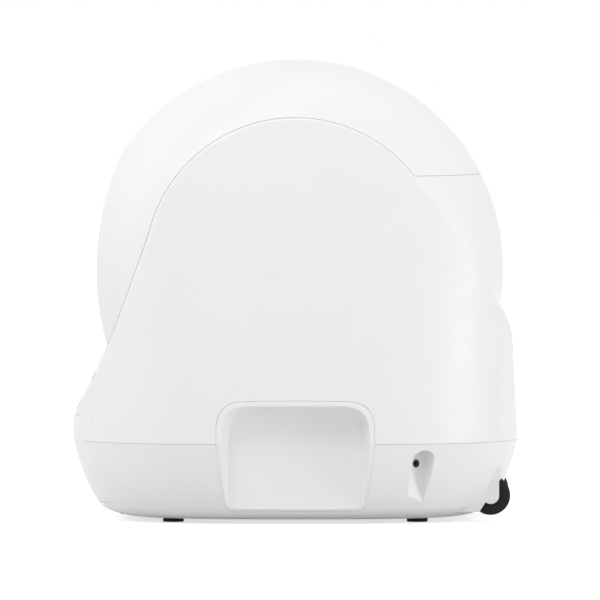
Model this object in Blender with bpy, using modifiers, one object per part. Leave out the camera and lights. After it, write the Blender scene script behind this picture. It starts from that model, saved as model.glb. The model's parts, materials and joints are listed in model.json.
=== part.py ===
"""Self-cleaning cat litter box with a globe hood, as an assembly of separate pieces.

Metres, +Z up. The front, where the cat goes in, faces -Y, and the origin is on the floor under the middle.
A ball-shaped hood sits between two arched side covers on a tapered base. Inside, a drum turns on four
rollers, driven by a pinion on its rear ring gear, and drops its waste into a drawer that pulls out in front.
"""

import math

import bmesh
import bpy
from mathutils import Matrix, Vector

# Plan of the housing, and how far its walls lean in towards the top
HALF_DEPTH = 0.279
HALF_WIDTH = 0.250
LEAN = 0.060
PLAN_POWER = 2.8
TUMBLEHOME_POWER = 1.6
SEAM_HEIGHT = 0.101
SEAM_GAP = 0.0006
COVER_SEAM = HALF_WIDTH - 0.100
HOUSING_WALL = 0.004

# Globe: turned about a line across the machine, with a squared profile across its width
GLOBE_RADIUS = HALF_DEPTH - 0.0185
GLOBE_HALF_WIDTH = HALF_WIDTH - 0.044
GLOBE_POWER = 3.2
GLOBE_HEIGHT = 0.313
GLOBE_WALL = 0.0035
SIDE_OPENING = HALF_WIDTH - 0.0688
HOOD_SIDE_GAP = 0.002
HOOD_HALF_WIDTH = SIDE_OPENING - HOOD_SIDE_GAP
FACE_RADIUS = 0.345
FACE_SETBACK = 0.0125
FACE_REACH = GLOBE_RADIUS - FACE_SETBACK
HOOD_SEAM_HEIGHT = 0.4325
HOOD_GAP = 0.0015
NOTCH_WIDTH = 0.090
NOTCH_HEIGHT = 0.018
NOTCH_DEPTH = 0.0015
TRIM_INSET = 0.006
TRIM_DEPTH = 0.012
TRIM_WALL = 0.004
REAR_SHELL_BOTTOM = 0.245
REAR_SHELL_FRONT = 0.060

# Outline of the side covers, seen from the side
ARCH_RADIUS = GLOBE_RADIUS - 0.0735
ARCH_HEIGHT = GLOBE_HEIGHT + 0.005
ARCH_FRONT_ANGLE = 167.0
ARCH_REAR_ANGLE = 43.0
TOP_HEIGHT = ARCH_HEIGHT + ARCH_RADIUS + 0.010
TOE = (0.001 - HALF_DEPTH, 0.130)
TOE_ROUND = 0.012
FRONT_KNEE = (0.053 - HALF_DEPTH, 0.239)
FLARE_RISE = 0.0022
REAR_BEND_END = (HALF_DEPTH - 0.0575, 0.327)
REAR_BEND_RISE = 0.0036
REAR_SHOULDER = (HALF_DEPTH - 0.0085, 0.242)
SHOULDER_ROUND = 0.012
REAR_REACH = HALF_DEPTH - 0.001

# Base
BASE_BOTTOM = 0.005
BASE_FLOOR = 0.004
BASE_TAPER = 0.024
BASE_CURVE = 0.022
BASE_EDGE = 0.036
BASE_EDGE_HEIGHT = 0.015

# Hand grips
GRIP_HALF_LENGTH = 0.1008
GRIP_TOP = 0.1562
GRIP_BOTTOM = 0.017
GRIP_DRAFT = 0.41
GRIP_LIP = 0.007
GRIP_SILL = 0.0035
GRIP_HOLLOW_DRAFT = 0.24
GRIP_BACK = HALF_WIDTH - 0.041
GRIP_WALL = 0.004
GRIP_CORNER = 0.034
GRIP_FOOT_CORNER = 0.008

# Supply socket and its scoop, on one side only
JACK_ALONG = HALF_DEPTH - 0.129
JACK_HEIGHT = 0.076
SCOOP_FRONT = JACK_ALONG - 0.012
SCOOP_DEEP = JACK_ALONG + 0.016
SCOOP_REAR = JACK_ALONG + 0.024
SCOOP_DEPTH = 0.020
SCOOP_BOTTOM = 0.033
SCOOP_TOP = 0.092
SCOOP_FOOT = 0.0054
SCOOP_REAR_SLOPE = 0.5
SCOOP_LIP = HALF_WIDTH - 0.038
JACK_RADIUS = 0.005
JACK_BORE = 0.0028
JACK_LENGTH = 0.016
JACK_BORE_DEPTH = 0.011

# Feet and load cells
FOOT_RADIUS = 0.013
FOOT_EDGE = 0.001
FOOT_ACROSS = HALF_WIDTH - 0.135
FOOT_ALONG = HALF_DEPTH - 0.127
CELL_ALONG = FOOT_ALONG - 0.052
CELL_LENGTH = 0.050
CELL_SIDE = 0.012

# Transport wheels
WHEEL_RADIUS = 0.0245
WHEEL_WIDTH = 0.022
TYRE_SHOULDER = 0.003
WHEEL_ACROSS = FOOT_ACROSS
WHEEL_ALONG = HALF_DEPTH - 0.0356
WHEEL_HEIGHT = 0.0331
HUB_RADIUS = 0.015
HUB_BOSS = 0.008
WELL_GAP = 0.003
WELL_WALL = 0.003
LUG_RADIUS = 0.011
LUG_WALL = 0.004
LUG_ROOT = 0.034
AXLE_RADIUS = 0.003
AXLE_GAP = 0.0003

# Drum
DRUM_RADIUS = SIDE_OPENING - 0.0132
DRUM_HEIGHT = GLOBE_HEIGHT + 0.022
DRUM_WALL = 0.003
DRUM_HALF_LENGTH = HALF_DEPTH - 0.154
MOUTH_RADIUS = 0.120
MOUTH_ALONG = 0.079 - HALF_DEPTH
MOUTH_LIP = 0.010
DRUM_REAR = HALF_DEPTH - 0.094
PORT_HALF_WIDTH = 0.055
PORT_FRONT = -0.050
PORT_REAR = 0.060
MOUTH_TRIM_WALL = 0.004
LINER_WALL = 0.003
LINER_HALF_ANGLE = 68.0
LINER_HALF_LENGTH = DRUM_HALF_LENGTH - 0.010
SIEVE_WALL = 0.003
SIEVE_START_ANGLE = 22.0
SIEVE_END_ANGLE = 92.0
SIEVE_HALF_LENGTH = DRUM_HALF_LENGTH - 0.020
SIEVE_PITCH = 0.020
SIEVE_SLOT_WIDTH = 0.010

# Drive
GEAR_MODULE = 0.005
RING_TEETH = 48
PINION_TEETH = 12
TOOTH_RISE = 0.8
TOOTH_DEPTH = 1.1
TOOTH_TIP = 0.10
TOOTH_ROOT = 0.26
RING_WIDTH = 0.010
RING_INNER = 0.100
PINION_SHAFT = 0.005
SHAFT_DEPTH = 0.010
BRACKET_GAP = 0.004
BRACKET_WALL = 0.003
BRACKET_HALF_WIDTH = 0.045
BRACKET_FOOT = 0.034
GEARBOX_HALF_WIDTH = 0.035
GEARBOX_HALF_HEIGHT = 0.028
GEARBOX_LENGTH = 0.030
MOTOR_RADIUS = 0.018
MOTOR_LENGTH = 0.026

# Cradle and rollers
CRADLE_BOTTOM = DRUM_HEIGHT - DRUM_RADIUS - 0.021
CRADLE_WALL = 0.004
CRADLE_HALF_LENGTH = DRUM_HALF_LENGTH + 0.010
CHUTE_HALF_WIDTH = DRUM_RADIUS - 0.078
CHUTE_HALF_LENGTH = DRUM_HALF_LENGTH - 0.045
CHUTE_CORNER = 0.020
ROLLER_RADIUS = 0.014
ROLLER_WIDTH = 0.016
ROLLER_ANGLE = 38.0
ROLLER_ALONG = DRUM_HALF_LENGTH - 0.020
ROLLER_PIN_RADIUS = 0.003
ROLLER_LUG_RADIUS = 0.008
ROLLER_LUG_WALL = 0.004
SIDE_FRAME_WALL = 0.003

# Waste drawer
DRAWER_HALF_WIDTH = HALF_WIDTH - 0.130
DRAWER_BOTTOM = 0.024
DRAWER_TOP = CRADLE_BOTTOM - 0.013
DRAWER_GAP = 0.0008
DRAWER_BACK = 0.057 - HALF_DEPTH
DRAWER_WALL = 0.004
BIN_HALF_WIDTH = DRAWER_HALF_WIDTH - 0.007
BIN_REAR = HALF_DEPTH - 0.174
BIN_TOP = DRAWER_TOP - 0.008
BIN_WALL = 0.0025
BIN_CORNER = 0.018
BAG_FRAME_HEIGHT = 0.006
BAG_FRAME_WIDTH = 0.008
RAIL_ACROSS = BIN_HALF_WIDTH - 0.013
RAIL_HALF_WIDTH = 0.005
PULL_HALF_WIDTH = 0.050
PULL_HEIGHT = 0.014
SILL_HALF_WIDTH = HALF_WIDTH - 0.145
SILL_FRONT = 0.0405 - HALF_DEPTH
SILL_REAR = 0.073 - HALF_DEPTH

# Control panel on the front flare
PANEL_HEIGHT = DRAWER_TOP + 0.045
PANEL_HALF_WIDTH = 0.055
PANEL_HALF_LENGTH = 0.017
PANEL_WALL = 0.0025
PANEL_CORNER = 0.004
SILL_HEIGHT = PANEL_HEIGHT + 0.026
BUTTON_RADIUS = 0.006
BUTTON_ACROSS = 0.025
BUTTON_PROUD = 0.001
BUTTON_TRAVEL = 0.0015
BUTTON_LENGTH = 0.008
BOARD_WALL = 0.0016
BOARD_MARGIN = 0.004
SWITCH_HEIGHT = 0.003
SWITCH_RADIUS = 0.0035
POST_RADIUS = 0.003
MAIN_BOARD_HALF_WIDTH = 0.045
MAIN_BOARD_HALF_LENGTH = 0.030
MAIN_BOARD_ACROSS = 0.150 - HALF_WIDTH
MAIN_BOARD_ALONG = HALF_DEPTH - 0.119
MAIN_BOARD_STAND = 0.006
BOARD_RAIL_HALF_WIDTH = 0.0025
PLUG_PITCH = 0.024
PLUG_SIDE = 0.008
CHIP_SIDE = 0.007

# Clearances
FIT = 0.0003
FRAME_FIT = 0.0008
BEYOND = 0.05

# Facets
GLOBE_STEPS = 56
GLOBE_PROFILE_STEPS = 10
PLAN_STEPS = 48
INNER_PLAN_STEPS = 28
FACE_STEPS = 72
DRUM_STEPS = 32
DRUM_CURVE_STEPS = 4
ROUND_STEPS = 20
SMALL_STEPS = 12
GRIP_CORNER_STEPS = 6
ARCH_STEPS = 18

FRAMES = {
    "X": Matrix(((0, 0, 1), (1, 0, 0), (0, 1, 0))).to_4x4(),
    "Y": Matrix(((0, 1, 0), (0, 0, 1), (1, 0, 0))).to_4x4(),
    "Z": Matrix.Identity(4),
}
SIDES = {"left": -1, "right": 1}
ENDS = {"front": -1, "rear": 1}


def new_collection(name, hidden=False):
    collection = bpy.data.collections.new(name)
    collection.hide_render = hidden
    bpy.context.scene.collection.children.link(collection)
    return collection


def make_material(name, colour, roughness, metallic=0.0):
    material = bpy.data.materials.new(name)
    material.use_nodes = True
    shader = material.node_tree.nodes["Principled BSDF"]
    shader.inputs["Base Color"].default_value = (*colour, 1.0)
    shader.inputs["Roughness"].default_value = roughness
    shader.inputs["Metallic"].default_value = metallic
    return material


def outward(shape):
    """Turns the faces of a closed shape outwards."""
    bmesh.ops.recalc_face_normals(shape, faces=shape.faces)
    if shape.calc_volume(signed=True) < 0:
        bmesh.ops.reverse_faces(shape, faces=shape.faces)


def tidy(mesh):
    """Welds a mesh's seams and turns its faces outwards."""
    shape = bmesh.new()
    shape.from_mesh(mesh)
    bmesh.ops.remove_doubles(shape, verts=shape.verts, dist=1e-6)
    outward(shape)
    shape.to_mesh(mesh)
    shape.free()
    return mesh


def finish_mesh(shape, name):
    outward(shape)
    mesh = bpy.data.meshes.new(name)
    shape.to_mesh(mesh)
    shape.free()
    return mesh


def baked(obj):
    """The mesh of an object with its modifiers worked out."""
    depsgraph = bpy.context.evaluated_depsgraph_get()
    mesh = bpy.data.meshes.new_from_object(obj.evaluated_get(depsgraph))
    return tidy(mesh)


def baked_once(data, name, prepare=None):
    """The evaluated mesh of a helper object that is removed again."""
    helper = bpy.data.objects.new(name, data)
    bpy.context.scene.collection.objects.link(helper)
    if prepare:
        prepare(helper)
    mesh = baked(helper)
    bpy.data.objects.remove(helper)
    return mesh


def box(low, high, name="box"):
    low, high = Vector(low), Vector(high)
    shape = bmesh.new()
    matrix = Matrix.Translation((low + high) / 2) @ Matrix.Diagonal((*(high - low), 1.0))
    bmesh.ops.create_cube(shape, size=1.0, matrix=matrix)
    return finish_mesh(shape, name)


def cylinder(radius, low, high, along, centre, steps=ROUND_STEPS, name="cylinder"):
    """A cylinder between two places along X, Y or Z, on a line through centre."""
    shape = bmesh.new()
    middle = Matrix.Translation((0, 0, (low + high) / 2))
    bmesh.ops.create_cone(
        shape, cap_ends=True, segments=steps, radius1=radius, radius2=radius, depth=high - low, matrix=middle
    )
    shape.transform(Matrix.Translation(centre) @ FRAMES[along])
    return finish_mesh(shape, name)


def extrude(outlines, along, low, high, name="extrusion"):
    """Outlines in the plane square to along, filled where one lies inside another, between two places."""
    curve = bpy.data.curves.new(name, "CURVE")
    curve.dimensions = "2D"
    curve.fill_mode = "BOTH"
    curve.extrude = (high - low) / 2
    for outline in outlines:
        spline = curve.splines.new("POLY")
        spline.points.add(len(outline) - 1)
        for point, (u, v) in zip(spline.points, outline):
            point.co = (u, v, 0, 1)
        spline.use_cyclic_u = True
    mesh = baked_once(curve, name)
    mesh.transform(FRAMES[along] @ Matrix.Translation((0, 0, (low + high) / 2)))
    return tidy(mesh)


def revolve(profile, along, centre, steps, closed, name="turning"):
    """A profile of (place along the axis, radius) turned about a line along X, Y or Z through centre."""
    shape = bmesh.new()
    points = [shape.verts.new((radius, 0, place)) for place, radius in profile]
    for first, second in zip(points, points[1:]):
        shape.edges.new((first, second))
    if closed:
        shape.edges.new((points[-1], points[0]))
    mesh = bpy.data.meshes.new(name)
    shape.to_mesh(mesh)
    shape.free()

    def turn(helper):
        screw = helper.modifiers.new("turn", "SCREW")
        screw.axis = "Z"
        screw.steps = steps
        screw.render_steps = steps
        screw.use_merge_vertices = True
        screw.merge_threshold = 1e-5

    mesh = baked_once(mesh, name, turn)
    mesh.transform(Matrix.Translation(centre) @ FRAMES[along])
    return tidy(mesh)


def loft(sections, name="loft"):
    """A closed skin through rings of the same count of points."""
    shape = bmesh.new()
    rings = [[shape.verts.new(point) for point in section] for section in sections]
    count = len(rings[0])
    for lower, upper in zip(rings, rings[1:]):
        for i in range(count):
            j = (i + 1) % count
            shape.faces.new((lower[i], lower[j], upper[j], upper[i]))
    shape.faces.new(rings[0])
    shape.faces.new(rings[-1])
    return finish_mesh(shape, name)


def arc(centre, radius, start, end, steps):
    """Points on a circle, between two angles in degrees."""
    angles = [math.radians(start + (end - start) * i / steps) for i in range(steps + 1)]
    return [(centre[0] + radius * math.cos(a), centre[1] + radius * math.sin(a)) for a in angles]


def bend(start, end, rise, steps):
    """Points on a shallow bow between two points, which stands rise to the right of the straight line."""
    start, end = Vector(start), Vector(end)
    along = end - start
    side = Vector((along.y, -along.x)).normalized()
    shares = [i / steps for i in range(steps + 1)]
    return [tuple(start + along * t + side * (4 * rise * t * (1 - t))) for t in shares]


def rounded(before, corner, after, reach, steps=5):
    """Points that round off a corner, starting and ending reach away from it."""
    before, corner, after = Vector(before), Vector(corner), Vector(after)
    start = corner + (before - corner).normalized() * reach
    end = corner + (after - corner).normalized() * reach
    shares = [i / steps for i in range(steps + 1)]
    return [tuple(start * (1 - t) ** 2 + corner * (2 * t * (1 - t)) + end * t**2) for t in shares]


def rounded_box(low, high, reach, steps=5):
    """A rectangle with rounded corners, counter-clockwise."""
    corners = [(low[0], low[1]), (high[0], low[1]), (high[0], high[1]), (low[0], high[1])]
    points = []
    for i, corner in enumerate(corners):
        points += rounded(corners[i - 1], corner, corners[(i + 1) % 4], reach, steps)
    return points


def grow_outline(points, distance):
    """A counter-clockwise outline moved outwards by a distance."""
    grown = []
    for i, point in enumerate(points):
        before = (Vector(point) - Vector(points[i - 1])).normalized()
        after = (Vector(points[(i + 1) % len(points)]) - Vector(point)).normalized()
        normal = Vector((before.y, -before.x)) + Vector((after.y, -after.x))
        normal.normalize()
        share = max(0.3, normal.dot(Vector((after.y, -after.x))))
        grown.append(tuple(Vector(point) + normal * (distance / share)))
    return grown


def side_outline(grow=0.0):
    """The side covers' outline, seen from the side as (along, height), running down past the floor."""
    centre = (0.0, ARCH_HEIGHT)
    arch = arc(centre, ARCH_RADIUS, ARCH_REAR_ANGLE, ARCH_FRONT_ANGLE, ARCH_STEPS)
    front_bottom = (TOE[0], -BEYOND)
    rear = [(REAR_REACH, -BEYOND), (REAR_REACH, SEAM_HEIGHT)]
    rear += rounded(rear[-1], REAR_SHOULDER, REAR_BEND_END, SHOULDER_ROUND)
    rear += bend(REAR_BEND_END, arch[0], REAR_BEND_RISE, 4)[:-1]
    front = bend(FRONT_KNEE, TOE, -FLARE_RISE, 5)
    front = front[:-1] + rounded(front[-2], TOE, front_bottom, TOE_ROUND)
    return grow_outline([front_bottom] + rear + arch + front, grow)


def globe_radius_at(across, grow=0.0):
    """The globe's radius at a distance from its middle plane."""
    share = min(1.0, abs(across) / (GLOBE_HALF_WIDTH + grow))
    return (GLOBE_RADIUS + grow) * (1 - share**GLOBE_POWER) ** (1 / GLOBE_POWER)


def globe_profile(grow, half_width):
    """Points of the globe's profile as (across, radius), from one side to the other."""
    turns = [math.pi * (i / GLOBE_PROFILE_STEPS - 0.5) for i in range(GLOBE_PROFILE_STEPS + 1)]
    places = [HOOD_HALF_WIDTH * math.sin(turn) for turn in turns]
    if half_width > HOOD_HALF_WIDTH:
        places = [-half_width] + places + [half_width]
    return [(place, globe_radius_at(place, grow)) for place in places]


def globe_band(outer, inner, half_width):
    """A wall of the globe, open at both sides."""
    profile = globe_profile(outer, half_width) + globe_profile(inner, half_width)[::-1]
    return revolve(profile, "X", (0, 0, GLOBE_HEIGHT), GLOBE_STEPS, closed=True, name="globe_band")


def globe_core(grow, half_width):
    """The whole globe as a solid with flat sides."""
    profile = [(-half_width, 0.0)] + globe_profile(grow, half_width) + [(half_width, 0.0)]
    return revolve(profile, "X", (0, 0, GLOBE_HEIGHT), GLOBE_STEPS, closed=False, name="globe_core")


def taper_at(height):
    """How far the base draws in at a height."""
    share = (SEAM_HEIGHT - height) / (SEAM_HEIGHT - BASE_BOTTOM)
    drawn = BASE_TAPER * share + BASE_CURVE * share**3
    low = (BASE_BOTTOM + BASE_EDGE_HEIGHT - height) / BASE_EDGE_HEIGHT
    if low > 0:
        drawn += BASE_EDGE * (1 - math.sqrt(max(0.0, 1 - low**2)))
    return drawn


def width_at(height):
    """The housing's half width at a height, with its sides leaning in above the seam."""
    if height <= SEAM_HEIGHT:
        return HALF_WIDTH - taper_at(height)
    share = (height - SEAM_HEIGHT) / (TOP_HEIGHT - SEAM_HEIGHT)
    return HALF_WIDTH - LEAN * share**TUMBLEHOME_POWER


def depth_at(height):
    return HALF_DEPTH - (taper_at(height) if height <= SEAM_HEIGHT else 0.0)


def plan_section(height, inset, steps):
    """The housing's plan at a height, drawn in by inset."""
    points = []
    for i in range(steps):
        angle = 2 * math.pi * (i + 0.5) / steps
        c, s = math.cos(angle), math.sin(angle)
        x = (width_at(height) - inset) * math.copysign(abs(c) ** (2 / PLAN_POWER), c)
        y = (depth_at(height) - inset) * math.copysign(abs(s) ** (2 / PLAN_POWER), s)
        points.append((x, y, height))
    return points


def housing_loft(inset, bottom, steps):
    """The housing's form from bottom to top, drawn in by inset, before the side outline trims it."""
    edge_top = BASE_BOTTOM + BASE_EDGE_HEIGHT
    heights = [bottom + (edge_top - bottom) * (1 - math.cos(math.pi / 2 * i / 3)) for i in range(3)]
    heights += [edge_top + (SEAM_HEIGHT - edge_top) * i / 3 for i in range(4)]
    heights += [SEAM_HEIGHT + (TOP_HEIGHT - SEAM_HEIGHT) * i / 6 for i in range(1, 7)]
    return loft([plan_section(height, inset, steps) for height in heights], "housing_loft")


def gear_outline(teeth, phase):
    """A gear's outline about its own centre, with straight-sided teeth and room between them."""
    pitch = GEAR_MODULE * teeth / 2
    step = 2 * math.pi / teeth
    corners = [(-TOOTH_ROOT, -TOOTH_DEPTH), (-TOOTH_TIP, TOOTH_RISE), (TOOTH_TIP, TOOTH_RISE)]
    corners.append((TOOTH_ROOT, -TOOTH_DEPTH))
    points = []
    for i in range(teeth):
        for turn, height in corners:
            radius = pitch + GEAR_MODULE * height
            angle = phase + (i + turn) * step
            points.append((radius * math.cos(angle), radius * math.sin(angle)))
    return points


def circle(centre, radius, steps=ROUND_STEPS):
    return arc(centre, radius, 0, 360 * (steps - 1) / steps, steps - 1)


def moved(outline, offset):
    return [(u + offset[0], v + offset[1]) for u, v in outline]


for old in list(bpy.data.objects):
    bpy.data.objects.remove(old)

PARTS = new_collection("litter_box")
CUTTERS = new_collection("litter_box_cutters", hidden=True)

WHITE = make_material("white_satin_plastic", (0.86, 0.86, 0.86), 0.42)
GREY = make_material("grey_plastic", (0.45, 0.46, 0.47), 0.50)
DARK = make_material("dark_plastic", (0.05, 0.05, 0.055), 0.45)
GLOSS = make_material("gloss_black_plastic", (0.02, 0.02, 0.022), 0.12)
RUBBER = make_material("black_rubber", (0.03, 0.03, 0.03), 0.85)
LINER = make_material("grey_silicone", (0.30, 0.31, 0.33), 0.70)
STEEL = make_material("steel", (0.60, 0.60, 0.60), 0.30, 1.0)
BOARD = make_material("green_board", (0.03, 0.16, 0.07), 0.50)


def add_part(name, mesh, material, pivot=None):
    """A named sub-part, carried by the empty on its joint's axis where it moves."""
    mesh.name = name
    mesh.materials.clear()
    mesh.materials.append(material)
    part = bpy.data.objects.new(name, mesh)
    PARTS.objects.link(part)
    if pivot:
        part.parent = pivot
        part.matrix_parent_inverse = Matrix.Translation(pivot.location).inverted()
    return part


def add_pivot(name, location):
    pivot = bpy.data.objects.new(name, None)
    pivot.location = location
    PARTS.objects.link(pivot)
    return pivot


def add_cutter(name, mesh):
    mesh.name = name
    cutter = bpy.data.objects.new(name, mesh)
    cutter.hide_render = True
    cutter.display_type = "WIRE"
    CUTTERS.objects.link(cutter)
    return cutter


def shape_with(part, operation, *meshes):
    """Cuts, joins or trims a part with other shapes, one after the other."""
    for mesh in meshes:
        name = f"{part.name}_{operation.lower()}_{len(part.modifiers)}"
        boolean = part.modifiers.new(name, "BOOLEAN")
        boolean.operation = operation
        boolean.solver = "EXACT"
        boolean.object = mesh if isinstance(mesh, bpy.types.Object) else add_cutter(name, mesh)
    return part


def cut(part, *meshes):
    return shape_with(part, "DIFFERENCE", *meshes)


def trim(part, *meshes):
    return shape_with(part, "INTERSECT", *meshes)


def join(part, *meshes):
    return shape_with(part, "UNION", *meshes)


# Shared forms
WIDE = HALF_WIDTH + BEYOND
DEEP = HALF_DEPTH + BEYOND
TALL = TOP_HEIGHT + BEYOND
WELL_HALF_WIDTH = WHEEL_WIDTH / 2 + WELL_GAP
INNER_FLOOR = BASE_BOTTOM + BASE_FLOOR


def well_outline(grow):
    """The wheel well seen from the side: round over the wheel, open below and behind."""
    radius = WHEEL_RADIUS + WELL_GAP + grow
    top = arc((WHEEL_ALONG, WHEEL_HEIGHT), radius, 60, 225, SMALL_STEPS)
    behind = WHEEL_ALONG + BEYOND
    return [(behind, top[0][1])] + top + [(top[-1][0], -BEYOND), (behind, -BEYOND)]


def wheel_well(sign, grow):
    middle, half = sign * WHEEL_ACROSS, WELL_HALF_WIDTH + grow
    return extrude([well_outline(grow)], "X", middle - half, middle + half, "wheel_well")


def jack_direction():
    """The way the socket faces, square to the scoop's long face."""
    return Vector((SCOOP_DEEP - SCOOP_FRONT, SCOOP_DEPTH, 0)).normalized()


def jack_place():
    share = (JACK_ALONG - SCOOP_FRONT) / (SCOOP_DEEP - SCOOP_FRONT)
    return Vector((SCOOP_LIP - SCOOP_DEPTH * share, JACK_ALONG, JACK_HEIGHT))


def jack_round(radius, front, back, steps=ROUND_STEPS):
    """A round solid on the socket's axis, from front to back behind the scoop's face."""
    mesh = cylinder(radius, -back, -front, "Z", (0, 0, 0), steps)
    turn = Vector((0, 0, 1)).rotation_difference(jack_direction()).to_matrix().to_4x4()
    mesh.transform(Matrix.Translation(jack_place()) @ turn)
    return mesh


def scoop_form():
    """The scoop: a wedge in plan, with an arched top."""
    beyond = SCOOP_LIP + BEYOND
    slope = SCOOP_DEPTH / (SCOOP_DEEP - SCOOP_FRONT)
    front = SCOOP_FRONT - BEYOND / slope
    rear = SCOOP_REAR + BEYOND * SCOOP_REAR_SLOPE
    plan = [(SCOOP_LIP - SCOOP_DEPTH, SCOOP_DEEP), (beyond, rear), (beyond, front)]
    wedge = add_cutter("scoop_wedge", extrude([plan], "Z", 0, SEAM_HEIGHT))
    middle, half = (SCOOP_FRONT + SCOOP_REAR) / 2, (SCOOP_REAR - SCOOP_FRONT) / 2
    outline = [(middle - SCOOP_FOOT, SCOOP_BOTTOM), (middle + SCOOP_FOOT, SCOOP_BOTTOM)]
    outline += arc((middle, SCOOP_TOP - half), half, 0, 180, 10)
    return trim(wedge, extrude([outline], "X", 0, beyond + BEYOND))


def grip_form(sign, back, bottom, draft, grow):
    """A hand grip's form from a place across outwards, which spreads to the sides and up with its draft."""
    sections = []
    for across in (back, WIDE):
        spread = grow - draft * (HALF_WIDTH - across)
        low = (-GRIP_HALF_LENGTH - spread, bottom)
        high = (GRIP_HALF_LENGTH + spread, GRIP_TOP + spread)
        corners = [low, (high[0], low[1]), high, (low[0], high[1])]
        reaches = (GRIP_FOOT_CORNER, GRIP_FOOT_CORNER, GRIP_CORNER, GRIP_CORNER)
        outline = []
        for i, reach in enumerate(reaches):
            outline += rounded(corners[i - 1], corners[i], corners[(i + 1) % 4], reach, GRIP_CORNER_STEPS)
        sections.append([(sign * across, along, height) for along, height in outline])
    return loft(sections, "grip_form")


outer_form = add_cutter("housing_outer", housing_loft(0.0, BASE_BOTTOM, PLAN_STEPS))
trim(outer_form, extrude([side_outline()], "X", -WIDE, WIDE))
OUTER = add_cutter("housing_solid", baked(outer_form))

inner_form = add_cutter("housing_inner", housing_loft(HOUSING_WALL, INNER_FLOOR, INNER_PLAN_STEPS))
trim(inner_form, extrude([side_outline(-HOUSING_WALL)], "X", -WIDE, WIDE))
INNER = add_cutter("housing_space", baked(inner_form))

tub_space = add_cutter("tub_space", INNER.data.copy())
cut(tub_space, *[wheel_well(sign, WELL_WALL) for sign in SIDES.values()])
JACK_BLOCK_LOW = (SCOOP_LIP - SCOOP_DEPTH - HOUSING_WALL, SCOOP_FRONT - HOUSING_WALL, INNER_FLOOR)
JACK_BLOCK_HIGH = (HALF_WIDTH, SCOOP_REAR + HOUSING_WALL, SEAM_HEIGHT - HOUSING_WALL)
cut(tub_space, box(JACK_BLOCK_LOW, JACK_BLOCK_HIGH))

GLOBE_SPACE = add_cutter("globe_space", globe_core(FIT, SIDE_OPENING))
shell_form = add_cutter("housing_shell", OUTER.data.copy())
cut(shell_form, tub_space, GLOBE_SPACE)
SHELL = baked(shell_form)


def housing_piece(name, low, high):
    """A piece of the housing's shell inside a box."""
    return trim(add_part(name, SHELL.copy(), WHITE), box(low, high))


def make_base():
    base = housing_piece("base_tray", (-WIDE, -DEEP, -BEYOND), (WIDE, DEEP, SEAM_HEIGHT - SEAM_GAP / 2))
    opening, bottom = DRAWER_HALF_WIDTH + DRAWER_GAP, DRAWER_BOTTOM - DRAWER_GAP
    cut(base, box((-opening, -DEEP, bottom), (opening, DRAWER_BACK, SEAM_HEIGHT + BEYOND)))
    for sign in SIDES.values():
        rail = sign * RAIL_ACROSS
        low = (rail - RAIL_HALF_WIDTH, DRAWER_BACK + DRAWER_WALL, INNER_FLOOR - FIT)
        join(base, box(low, (rail + RAIL_HALF_WIDTH, BIN_REAR, DRAWER_BOTTOM + 2 * DRAWER_GAP)))
        for face in SIDES.values():
            low, high = sorted((face * (WELL_HALF_WIDTH - FIT), face * (WELL_HALF_WIDTH + LUG_WALL)))
            join(base, extrude([lug_outline()], "X", sign * WHEEL_ACROSS + low, sign * WHEEL_ACROSS + high))
        cut(base, wheel_well(sign, 0.0))
        reach = WELL_HALF_WIDTH + LUG_WALL + FIT
        centre = (sign * WHEEL_ACROSS, WHEEL_ALONG, WHEEL_HEIGHT)
        cut(base, cylinder(AXLE_RADIUS + AXLE_GAP, -reach, reach, "X", centre, SMALL_STEPS))
        cut(base, grip_pocket(sign))
    half = MAIN_BOARD_HALF_LENGTH
    for sign in SIDES.values():
        place = MAIN_BOARD_ACROSS + sign * (MAIN_BOARD_HALF_WIDTH - MAIN_BOARD_STAND)
        low = (place - BOARD_RAIL_HALF_WIDTH, MAIN_BOARD_ALONG - half, INNER_FLOOR - FIT)
        high = (place + BOARD_RAIL_HALF_WIDTH, MAIN_BOARD_ALONG + half, INNER_FLOOR + MAIN_BOARD_STAND)
        join(base, box(low, high))
    cut(base, scoop_form(), jack_round(JACK_RADIUS + FIT, -BEYOND, JACK_LENGTH + BEYOND))


def lug_outline():
    """A wheel lug seen from the side: round about the axle, with a root that runs into the base."""
    tip = arc((WHEEL_ALONG, WHEEL_HEIGHT), LUG_RADIUS, -90, 90, SMALL_STEPS // 2)
    root = WHEEL_ALONG - LUG_ROOT
    return tip + [(root, WHEEL_HEIGHT + LUG_RADIUS), (root, WHEEL_HEIGHT - LUG_RADIUS)]


def grip_pocket(sign):
    return grip_form(sign, GRIP_BACK, GRIP_BOTTOM - FIT, GRIP_DRAFT, FIT)


def make_covers():
    bottom = SEAM_HEIGHT + SEAM_GAP / 2
    inner = COVER_SEAM + SEAM_GAP / 2
    for side, sign in SIDES.items():
        low, high = sorted((sign * inner, sign * WIDE))
        cover = housing_piece(f"side_cover_{side}", (low, -DEEP, bottom), (high, DEEP, TALL))
        cut(cover, grip_pocket(sign))


def make_grips():
    for side, sign in SIDES.items():
        back = GRIP_BACK + FIT
        form = grip_form(sign, back, GRIP_BOTTOM, GRIP_DRAFT, 0.0)
        grip = trim(add_part(f"hand_grip_{side}", form, WHITE), OUTER)
        cut(grip, grip_form(sign, back + GRIP_WALL, GRIP_BOTTOM + GRIP_SILL, GRIP_HOLLOW_DRAFT, -GRIP_LIP))


def make_rear_panel():
    inner = COVER_SEAM - SEAM_GAP / 2
    low = (-inner, 0, SEAM_HEIGHT + SEAM_GAP / 2)
    housing_piece("rear_panel", low, (inner, DEEP, TALL))


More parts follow.
